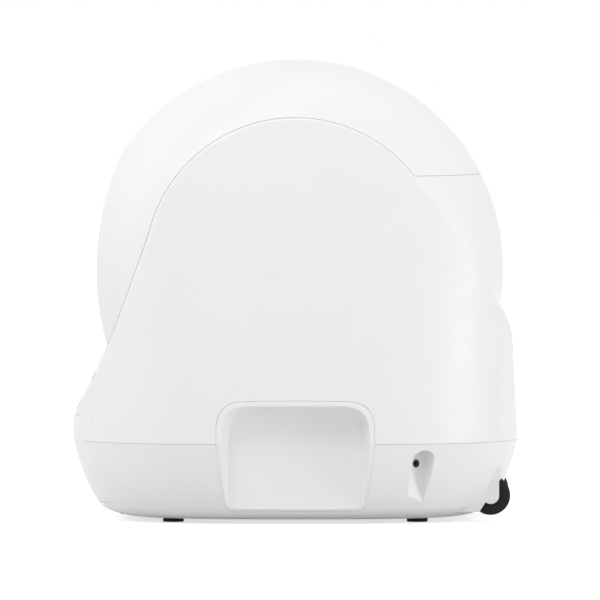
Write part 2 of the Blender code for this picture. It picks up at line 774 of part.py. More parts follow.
def flare_frame():
    """The control panel's place on the front flare: X across, Y up the slope and Z out of it."""
    share = (PANEL_HEIGHT - FRONT_KNEE[1]) / (TOE[1] - FRONT_KNEE[1])
    bow = bend(FRONT_KNEE, TOE, -FLARE_RISE, 50)
    start, end = Vector(bow[round(share * 50) - 1]), Vector(bow[round(share * 50) + 1])
    up = (start - end).normalized()
    place = (start + end) / 2
    across, slope = Vector((1, 0, 0)), Vector((0, up.x, up.y))
    out = across.cross(slope)
    frame = Matrix((across, slope, out)).transposed().to_4x4()
    return Matrix.Translation((0, place.x, place.y)) @ frame


def on_flare(mesh):
    mesh.transform(flare_frame())
    return mesh


def panel_outline(grow):
    half = (PANEL_HALF_WIDTH + grow, PANEL_HALF_LENGTH + grow)
    return rounded_box((-half[0], -half[1]), half, PANEL_CORNER + grow)


def make_front_panel():
    inner = COVER_SEAM - SEAM_GAP / 2
    panel = housing_piece("front_panel", (-inner, -DEEP, SEAM_HEIGHT + SEAM_GAP / 2), (inner, 0, TALL))
    opening = DRAWER_HALF_WIDTH + DRAWER_GAP
    drawer = box((-opening, -DEEP, 0), (opening, 0, DRAWER_TOP + DRAWER_GAP))
    pull = box((-PULL_HALF_WIDTH, -DEEP, 0), (PULL_HALF_WIDTH, 0, DRAWER_TOP + PULL_HEIGHT))
    low = (-SILL_HALF_WIDTH, SILL_FRONT, SILL_HEIGHT - HOUSING_WALL)
    join(panel, box(low, (SILL_HALF_WIDTH, SILL_REAR, SILL_HEIGHT)))
    cut(panel, drawer, pull, on_flare(extrude([panel_outline(FIT)], "Z", -PANEL_WALL - FIT, BEYOND)))
    for sign in SIDES.values():
        centre = (sign * BUTTON_ACROSS, 0, 0)
        cut(panel, on_flare(cylinder(BUTTON_RADIUS + FIT, -BEYOND, BEYOND, "Z", centre)))

    holes = [circle((sign * BUTTON_ACROSS, 0), BUTTON_RADIUS + FIT) for sign in SIDES.values()]
    add_part("control_panel", on_flare(extrude([panel_outline(0.0)] + holes, "Z", -PANEL_WALL, 0.0)), GLOSS)

    for name, sign in (("power_button", -1), ("cycle_button", 1)):
        centre = (sign * BUTTON_ACROSS, 0, 0)
        place = flare_frame() @ Vector(centre)
        mesh = on_flare(cylinder(BUTTON_RADIUS, BUTTON_PROUD - BUTTON_LENGTH, BUTTON_PROUD, "Z", centre))
        add_part(name, mesh, GREY, add_pivot(f"{name}_axis", place))

    switch_top = BUTTON_PROUD - BUTTON_LENGTH - BUTTON_TRAVEL - FIT
    board_top = switch_top - SWITCH_HEIGHT
    half = (PANEL_HALF_WIDTH - BOARD_MARGIN, PANEL_HALF_LENGTH - BOARD_MARGIN)
    low = (-half[0], -half[1], board_top - BOARD_WALL)
    board = add_part("control_board", on_flare(box(low, (half[0], half[1], board_top))), BOARD)
    for sign in SIDES.values():
        centre = (sign * BUTTON_ACROSS, 0, 0)
        join(board, on_flare(cylinder(SWITCH_RADIUS, board_top - FIT, switch_top, "Z", centre, SMALL_STEPS)))
        post = (sign * (half[0] - 2 * POST_RADIUS), 0, 0)
        top = -HOUSING_WALL - FIT
        join(board, on_flare(cylinder(POST_RADIUS, board_top - FIT, top, "Z", post, SMALL_STEPS)))


def make_side_frames():
    near = SIDE_FRAME_INNER
    outline = side_outline(-HOUSING_WALL - FRAME_FIT)
    space = housing_loft(HOUSING_WALL + FRAME_FIT, INNER_FLOOR + FRAME_FIT, INNER_PLAN_STEPS)
    limit = add_cutter("side_frame_limit", space)
    for side, sign in SIDES.items():
        low, high = sorted((sign * near, sign * (near + SIDE_FRAME_WALL)))
        frame = add_part(f"side_frame_{side}", extrude([outline], "X", low, high), WHITE)
        trim(frame, limit)


def make_hood():
    pivot = add_pivot("hood_lift", (0, 0, HOOD_SEAM_HEIGHT))
    half = HOOD_HALF_WIDTH
    face_centre = (0, FACE_RADIUS - FACE_REACH, GLOBE_HEIGHT)
    face = add_cutter("entrance_face", cylinder(FACE_RADIUS, -WIDE, WIDE, "X", face_centre, FACE_STEPS))
    housing = add_cutter("hood_edge", extrude([side_outline(HOOD_GAP)], "X", -WIDE, WIDE))
    rear = add_cutter("hood_seam", box((-WIDE, 0, 0), (WIDE, DEEP, HOOD_SEAM_HEIGHT)))
    hood = add_part("hood", globe_band(0.0, -GLOBE_WALL, half), WHITE, pivot)
    trim(hood, face)
    cut(hood, housing, rear)

    band = globe_band(-GLOBE_WALL - FIT, -GLOBE_WALL - FIT - TRIM_WALL, half)
    entrance = add_part("entrance_trim", band, GREY, pivot)
    front, back = FACE_RADIUS - TRIM_INSET, FACE_RADIUS - TRIM_INSET - TRIM_DEPTH
    trim(entrance, cylinder(front, -WIDE, WIDE, "X", face_centre, FACE_STEPS))
    cut(entrance, cylinder(back, -WIDE, WIDE, "X", face_centre, FACE_STEPS), housing)

    shell = add_part("rear_shell", globe_band(0.0, -GLOBE_WALL, half), WHITE)
    trim(shell, box((-WIDE, REAR_SHELL_FRONT, REAR_SHELL_BOTTOM), (WIDE, DEEP, HOOD_SEAM_HEIGHT - FIT)))
    notch = add_cutter("finger_notch", globe_band(BEYOND, -NOTCH_DEPTH, half))
    low = (-NOTCH_WIDTH / 2, 0, HOOD_SEAM_HEIGHT - NOTCH_HEIGHT)
    trim(notch, box(low, (NOTCH_WIDTH / 2, DEEP, HOOD_SEAM_HEIGHT)))
    cut(shell, notch)


def drum_profile(inset):
    """The drum's outline as (along, radius) from its mouth to its closed rear, drawn in by inset."""
    swell = DRUM_RADIUS - MOUTH_RADIUS
    front = -DRUM_HALF_LENGTH - (MOUTH_ALONG + MOUTH_LIP)
    rear = DRUM_REAR - DRUM_HALF_LENGTH - inset
    turns = [math.pi / 2 * i / DRUM_CURVE_STEPS for i in range(DRUM_CURVE_STEPS + 1)]
    curve = [(math.sin(turn), MOUTH_RADIUS + swell * math.cos(turn) - inset) for turn in turns]
    points = [(MOUTH_ALONG, MOUTH_RADIUS - inset)]
    points += [(-DRUM_HALF_LENGTH - front * share, radius) for share, radius in curve[::-1]]
    return points + [(DRUM_HALF_LENGTH + rear * share, radius) for share, radius in curve]


def make_drum():
    pivot = add_pivot("drum_axis", (0, 0, DRUM_HEIGHT))
    centre = (0, 0, DRUM_HEIGHT)
    outer, inner = drum_profile(0.0), drum_profile(DRUM_WALL)
    profile = [(inner[-1][0], 0.0)] + inner[::-1] + outer + [(outer[-1][0], 0.0)]
    drum = add_part("drum_shell", revolve(profile, "Y", centre, DRUM_STEPS, closed=False), GREY, pivot)
    cut(drum, box((-PORT_HALF_WIDTH, PORT_FRONT, DRUM_HEIGHT), (PORT_HALF_WIDTH, PORT_REAR, TALL)))

    lip, rim = MOUTH_RADIUS + FIT, MOUTH_RADIUS + FIT + MOUTH_TRIM_WALL
    front = MOUTH_ALONG - FIT
    profile = [(MOUTH_ALONG + MOUTH_LIP, lip), (MOUTH_ALONG + MOUTH_LIP, rim), (front - DRUM_WALL, rim)]
    opening = MOUTH_RADIUS - DRUM_WALL
    profile += [(front - DRUM_WALL, opening), (front, opening), (front, lip)]
    add_part("drum_mouth_trim", revolve(profile, "Y", centre, DRUM_STEPS, closed=True), LINER, pivot)

    flat = (DRUM_RADIUS - DRUM_WALL) * math.cos(math.pi / DRUM_STEPS) - FIT
    spread = (180 - LINER_HALF_ANGLE, 180 + LINER_HALF_ANGLE)
    outline = arc((DRUM_HEIGHT, 0), flat, *spread, 2 * ROUND_STEPS)
    outline += arc((DRUM_HEIGHT, 0), flat - LINER_WALL, *spread[::-1], 2 * ROUND_STEPS)
    add_part("drum_liner", extrude([outline], "Y", -LINER_HALF_LENGTH, LINER_HALF_LENGTH), LINER, pivot)
    make_sieve(flat, pivot)
    make_ring_gear(pivot)


def make_sieve(wall, pivot):
    """The slotted screen, a chord inside the drum from the waste port's edge to the drum's side."""
    ends = [math.radians(angle) for angle in (SIEVE_START_ANGLE, SIEVE_END_ANGLE)]
    start, end = (Vector((wall * math.sin(a), 0, wall * math.cos(a))) for a in ends)
    chord = end - start
    tilt = SIEVE_WALL * math.tan((ends[1] - ends[0]) / 2)
    half = chord.length / 2 - tilt
    outlines = [rounded_box((-half, -SIEVE_HALF_LENGTH), (half, SIEVE_HALF_LENGTH), SIEVE_SLOT_WIDTH / 2, 2)]
    slots = round(2 * SIEVE_HALF_LENGTH / SIEVE_PITCH - 0.5)
    for i in range(slots):
        place = (i - (slots - 1) / 2) * SIEVE_PITCH
        low = (SIEVE_SLOT_WIDTH - half, place - SIEVE_SLOT_WIDTH / 2)
        high = (half - SIEVE_SLOT_WIDTH, place + SIEVE_SLOT_WIDTH / 2)
        outlines.append(rounded_box(low, high, SIEVE_SLOT_WIDTH / 4, 1))
    mesh = extrude(outlines, "Z", -SIEVE_WALL / 2, SIEVE_WALL / 2)
    along, across = Vector((0, 1, 0)), chord.normalized()
    frame = Matrix((across, along, across.cross(along))).transposed().to_4x4()
    mesh.transform(Matrix.Translation((start + end) / 2 + Vector((0, 0, DRUM_HEIGHT))) @ frame)
    add_part("sieve_screen", mesh, WHITE, pivot)


RING_FRONT = DRUM_REAR + FIT
RING_REAR = RING_FRONT + RING_WIDTH
PINION_HEIGHT = DRUM_HEIGHT - GEAR_MODULE * (RING_TEETH + PINION_TEETH) / 2
BRACKET_FRONT = RING_REAR + BRACKET_GAP
BRACKET_REAR = BRACKET_FRONT + BRACKET_WALL
GEARBOX_FRONT = BRACKET_REAR + FIT


def make_ring_gear(pivot):
    teeth = moved(gear_outline(RING_TEETH, 0.0), (DRUM_HEIGHT, 0))
    bore = circle((DRUM_HEIGHT, 0), RING_INNER, DRUM_STEPS)
    add_part("ring_gear", extrude([teeth, bore], "Y", RING_FRONT, RING_REAR), LINER, pivot)


def make_drive():
    centre = (0, 0, PINION_HEIGHT)
    pivot = add_pivot("pinion_axis", centre)
    teeth = moved(gear_outline(PINION_TEETH, math.pi / PINION_TEETH), (PINION_HEIGHT, 0))
    pinion = add_part("drive_pinion", extrude([teeth], "Y", RING_FRONT, RING_REAR), LINER, pivot)
    shaft_end = GEARBOX_FRONT + SHAFT_DEPTH
    join(pinion, cylinder(PINION_SHAFT, RING_REAR - FIT, shaft_end, "Y", centre))

    half, top = BRACKET_HALF_WIDTH, PINION_HEIGHT + GEARBOX_HALF_HEIGHT + BRACKET_WALL
    foot = INNER_FLOOR + FIT
    plate = rounded_box((foot, -half), (top, half), BRACKET_WALL, 3)
    hole = circle((PINION_HEIGHT, 0), PINION_SHAFT + BRACKET_WALL)
    bracket = add_part("motor_bracket", extrude([plate, hole], "Y", BRACKET_FRONT, BRACKET_REAR), STEEL)
    root, tip = BRACKET_FRONT + FIT, BRACKET_FRONT - BRACKET_FOOT
    join(bracket, box((-half, tip, foot), (half, root, foot + BRACKET_WALL)))
    gusset = [(tip, foot + FIT), (root, foot + FIT), (root, PINION_HEIGHT - GEARBOX_HALF_HEIGHT)]
    for sign in SIDES.values():
        low, high = sorted((sign * (half - BRACKET_WALL - FIT), sign * (half - FIT)))
        join(bracket, extrude([gusset], "X", low, high))

    low = (PINION_HEIGHT - GEARBOX_HALF_HEIGHT, -GEARBOX_HALF_WIDTH)
    high = (PINION_HEIGHT + GEARBOX_HALF_HEIGHT, GEARBOX_HALF_WIDTH)
    gearbox_rear = GEARBOX_FRONT + GEARBOX_LENGTH
    case = rounded_box(low, high, GEARBOX_HALF_HEIGHT / 4, 3)
    motor = add_part("gear_motor", extrude([case], "Y", GEARBOX_FRONT, gearbox_rear), DARK)
    join(motor, cylinder(MOTOR_RADIUS, gearbox_rear - FIT, gearbox_rear + MOTOR_LENGTH, "Y", centre))
    cut(motor, cylinder(PINION_SHAFT + FIT, GEARBOX_FRONT - BEYOND, shaft_end + FIT, "Y", centre))


ROLLER_DISTANCE = DRUM_RADIUS + ROLLER_RADIUS + FIT
ROLLER_HEIGHT = DRUM_HEIGHT - ROLLER_DISTANCE * math.cos(math.radians(ROLLER_ANGLE))
ROLLER_ACROSS = ROLLER_DISTANCE * math.sin(math.radians(ROLLER_ANGLE))
SIDE_FRAME_INNER = SIDE_OPENING + FRAME_FIT


def make_cradle():
    top = CRADLE_BOTTOM + CRADLE_WALL
    half = SIDE_FRAME_INNER - FIT
    plate = rounded_box((-half, -CRADLE_HALF_LENGTH), (half, CRADLE_HALF_LENGTH), CRADLE_WALL, 2)
    opening = (CHUTE_HALF_WIDTH, CHUTE_HALF_LENGTH)
    chute = rounded_box((-opening[0], -opening[1]), opening, CHUTE_CORNER, 4)
    cradle = add_part("drum_cradle", extrude([plate, chute], "Z", CRADLE_BOTTOM, top), WHITE)
    bore = ROLLER_PIN_RADIUS + FIT
    near = ROLLER_WIDTH / 2 + FIT
    far = near + ROLLER_LUG_WALL
    for end, along in ENDS.items():
        for side, sign in SIDES.items():
            centre = (sign * ROLLER_ACROSS, 0, ROLLER_HEIGHT)
            place = along * ROLLER_ALONG
            lug = arc((ROLLER_HEIGHT, centre[0]), ROLLER_LUG_RADIUS, -90, 90, SMALL_STEPS // 2)
            lug += [(top - FIT, centre[0] + ROLLER_LUG_RADIUS), (top - FIT, centre[0] - ROLLER_LUG_RADIUS)]
            join(cradle, extrude([lug], "Y", place - far, place - near))
            join(cradle, extrude([lug], "Y", place + near, place + far))
            cut(cradle, cylinder(bore, place - far - FIT, place + far + FIT, "Y", centre, SMALL_STEPS))
            pin = cylinder(ROLLER_PIN_RADIUS, place - far, place + far, "Y", centre, SMALL_STEPS)
            add_part(f"roller_pin_{end}_{side}", pin, STEEL)
            profile = [(-ROLLER_WIDTH / 2, bore), (-ROLLER_WIDTH / 2, ROLLER_RADIUS)]
            profile += [(ROLLER_WIDTH / 2, ROLLER_RADIUS), (ROLLER_WIDTH / 2, bore)]
            middle = (centre[0], place, ROLLER_HEIGHT)
            pivot = add_pivot(f"roller_axis_{end}_{side}", middle)
            roller = revolve(profile, "Y", middle, ROUND_STEPS, closed=True)
            add_part(f"support_roller_{end}_{side}", roller, RUBBER, pivot)


BIN_BOTTOM = DRAWER_BOTTOM + 2 * DRAWER_GAP + FIT
BIN_FRONT = DRAWER_BACK + FIT


def bin_outline(inset):
    low = (inset - BIN_HALF_WIDTH, BIN_FRONT + inset)
    return rounded_box(low, (BIN_HALF_WIDTH - inset, BIN_REAR - inset), BIN_CORNER - inset, 4)


def make_drawer():
    pivot = add_pivot("drawer_slide", (0, DRAWER_BACK, DRAWER_BOTTOM))
    half, inner = DRAWER_HALF_WIDTH, DRAWER_HALF_WIDTH - DRAWER_WALL
    front = add_part("drawer_front", OUTER.data.copy(), WHITE, pivot)
    trim(front, box((-half, -DEEP, DRAWER_BOTTOM), (half, DRAWER_BACK, DRAWER_TOP)))
    hollow = add_cutter("drawer_front_space", INNER.data.copy())
    low = (-inner, -DEEP, DRAWER_BOTTOM + DRAWER_WALL)
    trim(hollow, box(low, (inner, DRAWER_BACK - DRAWER_WALL, DRAWER_TOP + BEYOND)))
    cut(front, hollow)

    waste_bin = add_part("drawer_bin", extrude([bin_outline(0.0)], "Z", BIN_BOTTOM, BIN_TOP), GREY, pivot)
    cut(waste_bin, extrude([bin_outline(BIN_WALL)], "Z", BIN_BOTTOM + BIN_WALL, BIN_TOP + BEYOND))
    low = BIN_TOP + FIT
    ring = extrude([bin_outline(0.0), bin_outline(BAG_FRAME_WIDTH)], "Z", low, low + BAG_FRAME_HEIGHT)
    add_part("bag_frame", ring, DARK, pivot)


def make_feet():
    top = BASE_BOTTOM - FIT
    edge = FOOT_RADIUS - FOOT_EDGE
    profile = [(0, 0), (0, edge), (FOOT_EDGE, FOOT_RADIUS), (top, FOOT_RADIUS), (top, 0)]
    cell_low = INNER_FLOOR + FIT
    for end, along in ENDS.items():
        for side, sign in SIDES.items():
            centre = (sign * FOOT_ACROSS, along * FOOT_ALONG, 0)
            add_part(f"foot_{end}_{side}", revolve(profile, "Z", centre, ROUND_STEPS, closed=False), RUBBER)
            low = (centre[0] - CELL_SIDE / 2, along * CELL_ALONG - CELL_LENGTH / 2, cell_low)
            high = (centre[0] + CELL_SIDE / 2, along * CELL_ALONG + CELL_LENGTH / 2, cell_low + CELL_SIDE)
            cell = add_part(f"load_cell_{end}_{side}", box(low, high), STEEL)
            waist = (centre[0], along * CELL_ALONG, cell_low + CELL_SIDE / 2)
            cut(cell, cylinder(CELL_SIDE / 3, -BEYOND, BEYOND, "X", waist, SMALL_STEPS))


def make_wheels():
    bore = AXLE_RADIUS + AXLE_GAP
    half, shoulder = WHEEL_WIDTH / 2, WHEEL_RADIUS - TYRE_SHOULDER
    seat, tread = HUB_RADIUS + FIT, half - TYRE_SHOULDER
    tyre = [(-half, seat), (-half, shoulder), (-tread, WHEEL_RADIUS)]
    tyre += [(tread, WHEEL_RADIUS), (half, shoulder), (half, seat)]
    face, dish = half - FIT, half / 2
    rim = (HUB_RADIUS + HUB_BOSS) / 2
    hub = [(-face, bore), (-face, HUB_BOSS), (-dish, HUB_BOSS)]
    hub += [(-dish, rim), (-face, rim), (-face, HUB_RADIUS)]
    hub += [(-place, radius) for place, radius in hub[::-1]]
    reach = WELL_HALF_WIDTH + LUG_WALL
    for side, sign in SIDES.items():
        centre = (sign * WHEEL_ACROSS, WHEEL_ALONG, WHEEL_HEIGHT)
        pivot = add_pivot(f"wheel_axis_{side}", centre)
        add_part(f"wheel_tyre_{side}", revolve(tyre, "X", centre, ROUND_STEPS, closed=True), RUBBER, pivot)
        add_part(f"wheel_hub_{side}", revolve(hub, "X", centre, ROUND_STEPS, closed=True), GREY, pivot)
        axle = cylinder(AXLE_RADIUS, -reach, reach, "X", centre, SMALL_STEPS)
        add_part(f"wheel_axle_{side}", axle, STEEL)


def make_electrics():
    jack = add_part("dc_jack", jack_round(JACK_RADIUS, 0.0, JACK_LENGTH), DARK)
    cut(jack, jack_round(JACK_BORE, -BEYOND, JACK_BORE_DEPTH, SMALL_STEPS))
    half = Vector((MAIN_BOARD_HALF_WIDTH, MAIN_BOARD_HALF_LENGTH, BOARD_WALL / 2))
    bottom = INNER_FLOOR + MAIN_BOARD_STAND + FIT
    middle = Vector((MAIN_BOARD_ACROSS, MAIN_BOARD_ALONG, bottom + BOARD_WALL / 2))
    board = add_part("main_board", box(middle - half, middle + half), BOARD)
    for step in (-1, 0, 1):
        low = middle + Vector((step * PLUG_PITCH - PLUG_SIDE, half.y - 2 * PLUG_SIDE, 0))
        join(board, box(low, low + Vector((2 * PLUG_SIDE, PLUG_SIDE, PLUG_SIDE))))
    chip = Vector((CHIP_SIDE, CHIP_SIDE, BOARD_WALL))
    join(board, box(middle - chip, middle + chip))


make_base()
make_covers()
make_grips()
make_front_panel()
make_rear_panel()
make_side_frames()
make_hood()
make_drum()
make_drive()
make_cradle()
make_drawer()
make_feet()
make_wheels()
make_electrics()
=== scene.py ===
"""Looks of a self-cleaning litter box: mouldings, finishes, studio light and camera on its frame."""

import json
import math

import bmesh
import bpy
import numpy as np
from mathutils import Matrix, Vector


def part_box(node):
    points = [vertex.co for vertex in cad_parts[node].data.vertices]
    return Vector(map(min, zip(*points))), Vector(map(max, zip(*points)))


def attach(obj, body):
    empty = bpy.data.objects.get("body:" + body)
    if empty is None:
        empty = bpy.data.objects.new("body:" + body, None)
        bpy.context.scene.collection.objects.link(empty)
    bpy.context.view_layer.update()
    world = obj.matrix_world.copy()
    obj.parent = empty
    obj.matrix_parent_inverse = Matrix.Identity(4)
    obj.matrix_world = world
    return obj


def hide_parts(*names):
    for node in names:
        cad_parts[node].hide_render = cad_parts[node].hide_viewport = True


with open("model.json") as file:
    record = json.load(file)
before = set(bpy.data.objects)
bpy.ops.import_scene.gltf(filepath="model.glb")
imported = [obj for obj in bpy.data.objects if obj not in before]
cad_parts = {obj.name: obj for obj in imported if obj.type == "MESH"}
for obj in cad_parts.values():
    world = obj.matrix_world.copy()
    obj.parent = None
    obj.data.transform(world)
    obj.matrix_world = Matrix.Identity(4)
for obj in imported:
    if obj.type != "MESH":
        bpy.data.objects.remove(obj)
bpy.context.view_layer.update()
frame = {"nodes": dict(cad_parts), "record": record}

SIDES = (("left", -1), ("right", 1))
CORNERS = ("front_left", "front_right", "rear_left", "rear_right")

# Frames whose Z lies along an axis
ALONG_X = Matrix(((0, 0, 1), (1, 0, 0), (0, 1, 0))).to_4x4()
ALONG_Y = Matrix(((0, 1, 0), (0, 0, 1), (1, 0, 0))).to_4x4()

# Plan and lean of the housing
HALF_DEPTH = 0.279
HALF_WIDTH = 0.250
SKIN = 0.0008
FIT = 0.0003
LEAN = 0.060
PLAN_POWER = 2.8
TUMBLEHOME_POWER = 1.6
SEAM = 0.101
SEAM_GAP = 0.0003
COVER_SEAM = 0.150
WALL = 0.004

# Globe and the round face that cuts its front
GLOBE_RADIUS = 0.2605
GLOBE_HALF_WIDTH = 0.206
GLOBE_POWER = 3.2
GLOBE_HEIGHT = 0.313
GLOBE_WALL = 0.0035
SIDE_OPENING = 0.1812
HOOD_HALF_WIDTH = SIDE_OPENING - 2 * FIT
FACE_RADIUS = 0.345
FACE_OFFSET = 0.097
HOOD_SEAM = 0.4325
HOOD_GAP = 0.0003
HOOD_EDGE = 0.0012
REAR_SHELL_BOTTOM = 0.245
NOTCH_HALF_WIDTH = 0.045
NOTCH_HEIGHT = 0.018
NOTCH_DEPTH = 0.0015
NOTCH_SIDE_ROUND = 0.001
NOTCH_FOOT_ROUND = 0.0008
NOTCH_BAND = 0.002
TRIM_INSET = 0.006
TRIM_DEPTH = 0.012
TRIM_WALL = 0.004
FOOT_TRIM = 0.006
FLANK_SHARE = 0.72

# Side outline of the covers, as (along, height)
ARCH_RADIUS = 0.187
ARCH_HEIGHT = 0.318
FLANK_TOP = ARCH_HEIGHT + 0.02
END_PANEL_LIMIT = ARCH_HEIGHT + 0.01
ARCH_FRONT_ANGLE = 167.0
ARCH_REAR_ANGLE = 43.0
TOP_HEIGHT = 0.515
TOE = (-0.278, 0.130)
TOE_ROUND = 0.010
FRONT_KNEE = (-0.226, 0.239)
FLARE_RISE = 0.0022
REAR_BEND_END = (0.2215, 0.327)
REAR_BEND_RISE = 0.0036
REAR_SHOULDER = (0.2705, 0.242)
SHOULDER_ROUND = 0.012
REAR_REACH = 0.278
OUTLINE_STEP = 0.001
OUTLINE_SOFTNESS = 0.003
END_SOFTNESS = 0.0016

# Base
BASE_BOTTOM = 0.005
BASE_TAPER = 0.024
BASE_CURVE = 0.022
BASE_EDGE = 0.036
BASE_EDGE_HEIGHT = 0.015
INNER_ROUND = 0.012
INNER_WALL_FOOT = 0.030

# Hand grips, whose walls spread outwards with a draft
GRIP_HALF_LENGTH = 0.1008
GRIP_TOP = 0.1562
GRIP_BOTTOM = 0.017
GRIP_DRAFT = 0.41
GRIP_LIP = 0.007
GRIP_SILL = 0.0035
GRIP_HOLLOW_DRAFT = 0.24
GRIP_BACK = HALF_WIDTH - 0.041 + FIT
GRIP_FLOOR = GRIP_BACK + 0.004
GRIP_CORNER = 0.034
GRIP_FOOT_CORNER = 0.008
GRIP_GAP = 0.0002
GRIP_LIP_EDGE = 0.0010
GRIP_FILLET = 0.0025
GRIP_FLOOR_BEND = 0.002

# Supply socket and its scoop
JACK_ALONG = HALF_DEPTH - 0.129
JACK_HEIGHT = 0.076
JACK_RADIUS = 0.005
JACK_BORE = 0.0028
JACK_LENGTH = 0.016
JACK_BORE_DEPTH = 0.011
JACK_EDGE = 0.0005
JACK_HOLE = (-0.05, 0.02)
RAMP_START = JACK_ALONG - 0.012
RAMP_SLOPE = 0.020 / 0.028
RAMP_LIP = HALF_WIDTH - 0.038
SCOOP_FRONT = JACK_ALONG - 0.0045
SCOOP_FRONT_LEAN = 0.148
SCOOP_PEAK = JACK_ALONG + 0.0125
SCOOP_REAR = JACK_ALONG + 0.0240
SCOOP_DEEP = JACK_ALONG + 0.0080
SCOOP_REAR_SLOPE = 0.74
SCOOP_CROWN = 0.079
SCOOP_TOP = 0.093
SCOOP_BEND = 0.003

# Waste drawer and its rails
DRAWER_HALF_WIDTH = 0.120
DRAWER_BOTTOM = 0.024
DRAWER_TOP = 0.133
DRAWER_GAP = 0.0003
DRAWER_BACK = -0.222
DRAWER_EDGE = 0.0004
DRAWER_SINK = 0.0002
DRAWER_OPEN_TOP = DRAWER_TOP + 0.02
PULL_HALF_WIDTH = 0.050
PULL_HEIGHT = 0.014
PULL_FOOT = 0.12
RAIL_ACROSS = 0.100
RAIL_HALF_WIDTH = 0.005
BIN_REAR = 0.105

# Control panel and buttons
PANEL_HALF_WIDTH = 0.055
PANEL_HALF_LENGTH = 0.017
PANEL_WALL = 0.0025
PANEL_CORNER = 0.004
PANEL_HEIGHT = 0.178
PANEL_EDGE = 0.0005
BUTTON_RADIUS = 0.006
BUTTON_ACROSS = 0.025
BUTTON_PROUD = 0.0002
BUTTON_LENGTH = 0.0072
BUTTON_DISH = 0.0003
BUTTON_DISH_SHARE = 0.86
BUTTON_EDGE = 0.0006
BUTTON_CORE = 0.0005

# Wheels with their wells, lugs and fenders, feet and rollers
WHEEL_LOW, WHEEL_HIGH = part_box("wheel_tyre_right")
WHEEL_MIDDLE = (WHEEL_LOW + WHEEL_HIGH) / 2
WHEEL_RADIUS = (WHEEL_HIGH.z - WHEEL_LOW.z) / 2
WHEEL_HALF_WIDTH = (WHEEL_HIGH.x - WHEEL_LOW.x) / 2
WELL_GAP = 0.003
WELL_WALL = 0.003
WELL_REACH = 0.05
LUG_RADIUS = 0.0104
LUG_WALL = 0.0044
LUG_TOP = 0.054
FENDER_WALL = 0.0060
FENDER_SLOPE = 0.14
FENDER = np.array([(0.205, 0.0125), (0.2292, 0.0128), (0.2575, 0.0568), (0.2535, 0.070), (0.205, 0.070)])
TYRE_CHEEK = 0.0092
TYRE_EDGE = 0.0035
HUB_BOSS = 0.008
HUB_EDGE = 0.0006
FOOT_EDGE = 0.0012
ROLLER_BORE = 0.0034
ROLLER_EDGE = 0.001

# Drum
DRUM_RADIUS = 0.168
DRUM_HEIGHT = 0.335
DRUM_WALL = 0.003
DRUM_HALF_LENGTH = 0.125
DRUM_REAR = 0.185
DRUM_CORE = 0.002
DRUM_SIDES = 32
MOUTH_RADIUS = 0.120
MOUTH_ALONG = -0.200
MOUTH_LIP = 0.010
MOUTH_TRIM_WALL = 0.004
MOUTH_EDGE = 0.0012
PORT_HALF_WIDTH = 0.055
PORT_FRONT = -0.050
PORT_REAR = 0.060
PORT_TOP = 0.6
LINER_WALL = 0.003
LINER_HALF_ANGLE = 68.0
LINER_HALF_LENGTH = 0.115
LINER_EDGE = 0.0006

# Edges and density of the skins, and how far cutters reach
EDGE_STEPS = 7
COVER_EDGE = 0.003
SMALL_EDGE = 0.0008
TINY_EDGE = 0.0002
CORE = 0.0002
CORNER_SHARE = 0.45
SKIN_STEP = 0.003
RIM_STEP = 0.0005
SLOPE_STEP = 1e-5
MERGE = 1e-7
SHARP_ANGLE = 33.0
PAST_SKIN = 0.03
FAR = 0.4

# Finishes and studio
TONE_SCALE = 14.0
POLISH_SCALE = 60.0
NOISE_RANGE = (0.3, 0.7)
FLOOR_HALF_SIZE = 14.0
FLOOR_TONE = 0.74
FLOOR_ROUGHNESS = 0.9
FLOOR_GLOW = 0.66
WORLD_LIGHT = 0.68
LAMP_AIM = Vector((0, 0, 0.25))
LAMPS = (
    ("key", (2.6, -1.4, 3.4), 1.8, 40.0),
    ("front_side", (0.6, -4.2, 2.2), 2.6, 28.0),
    ("rear_side", (1.3, 3.6, 0.4), 1.2, 34.0),
    ("top", (0.2, 0.4, 4.2), 3.0, 16.0),
)
CAMERA_DISTANCE = 25.0
CAMERA_ELEVATION = 1.8
CAMERA_FAR = 100.0
SENSOR_WIDTH = 36.0
FRAME_WIDTH = 0.7478
AIM = Vector((0.115, 0.0058, 0.2764))


# Form of the housing

def taper(z):
    """How far the base draws in at a height."""
    share = (SEAM - z) / (SEAM - BASE_BOTTOM)
    low = np.clip((BASE_BOTTOM + BASE_EDGE_HEIGHT - z) / BASE_EDGE_HEIGHT, 0, 1)
    drawn = BASE_TAPER * share + BASE_CURVE * share**3 + BASE_EDGE * (1 - np.sqrt(1 - low**2))
    return np.where(z <= SEAM, drawn, 0.0)


def half_width(z):
    lean = LEAN * (np.clip(z - SEAM, 0, None) / (TOP_HEIGHT - SEAM)) ** TUMBLEHOME_POWER
    return HALF_WIDTH - SKIN - lean - taper(z)


def half_depth(z):
    return HALF_DEPTH - taper(z)


def falling(share, power):
    """Falls from 1 in the middle to 0 at the end, the squarer the higher the power."""
    return (1 - np.clip(np.abs(share), 0, 1) ** power) ** (1 / power)


def side_x(y, z):
    return half_width(z) * falling(y / half_depth(z), PLAN_POWER)


def end_y(x, z):
    return half_depth(z) * falling(x / half_width(z), PLAN_POWER)


def globe_radius(x):
    return GLOBE_RADIUS * falling(x / GLOBE_HALF_WIDTH, GLOBE_POWER)


def globe_x(radius):
    return GLOBE_HALF_WIDTH * falling(radius / GLOBE_RADIUS, GLOBE_POWER)


def globe_slope(x):
    return (globe_radius(x + SLOPE_STEP) - globe_radius(x - SLOPE_STEP)) / (2 * SLOPE_STEP)


def soft_min(a, b, soft):
    """The smaller of two values, with a rounded change-over."""
    blend = np.clip(0.5 + 0.5 * (b - a) / soft, 0, 1)
    return b * (1 - blend) + a * blend - soft * blend * (1 - blend)


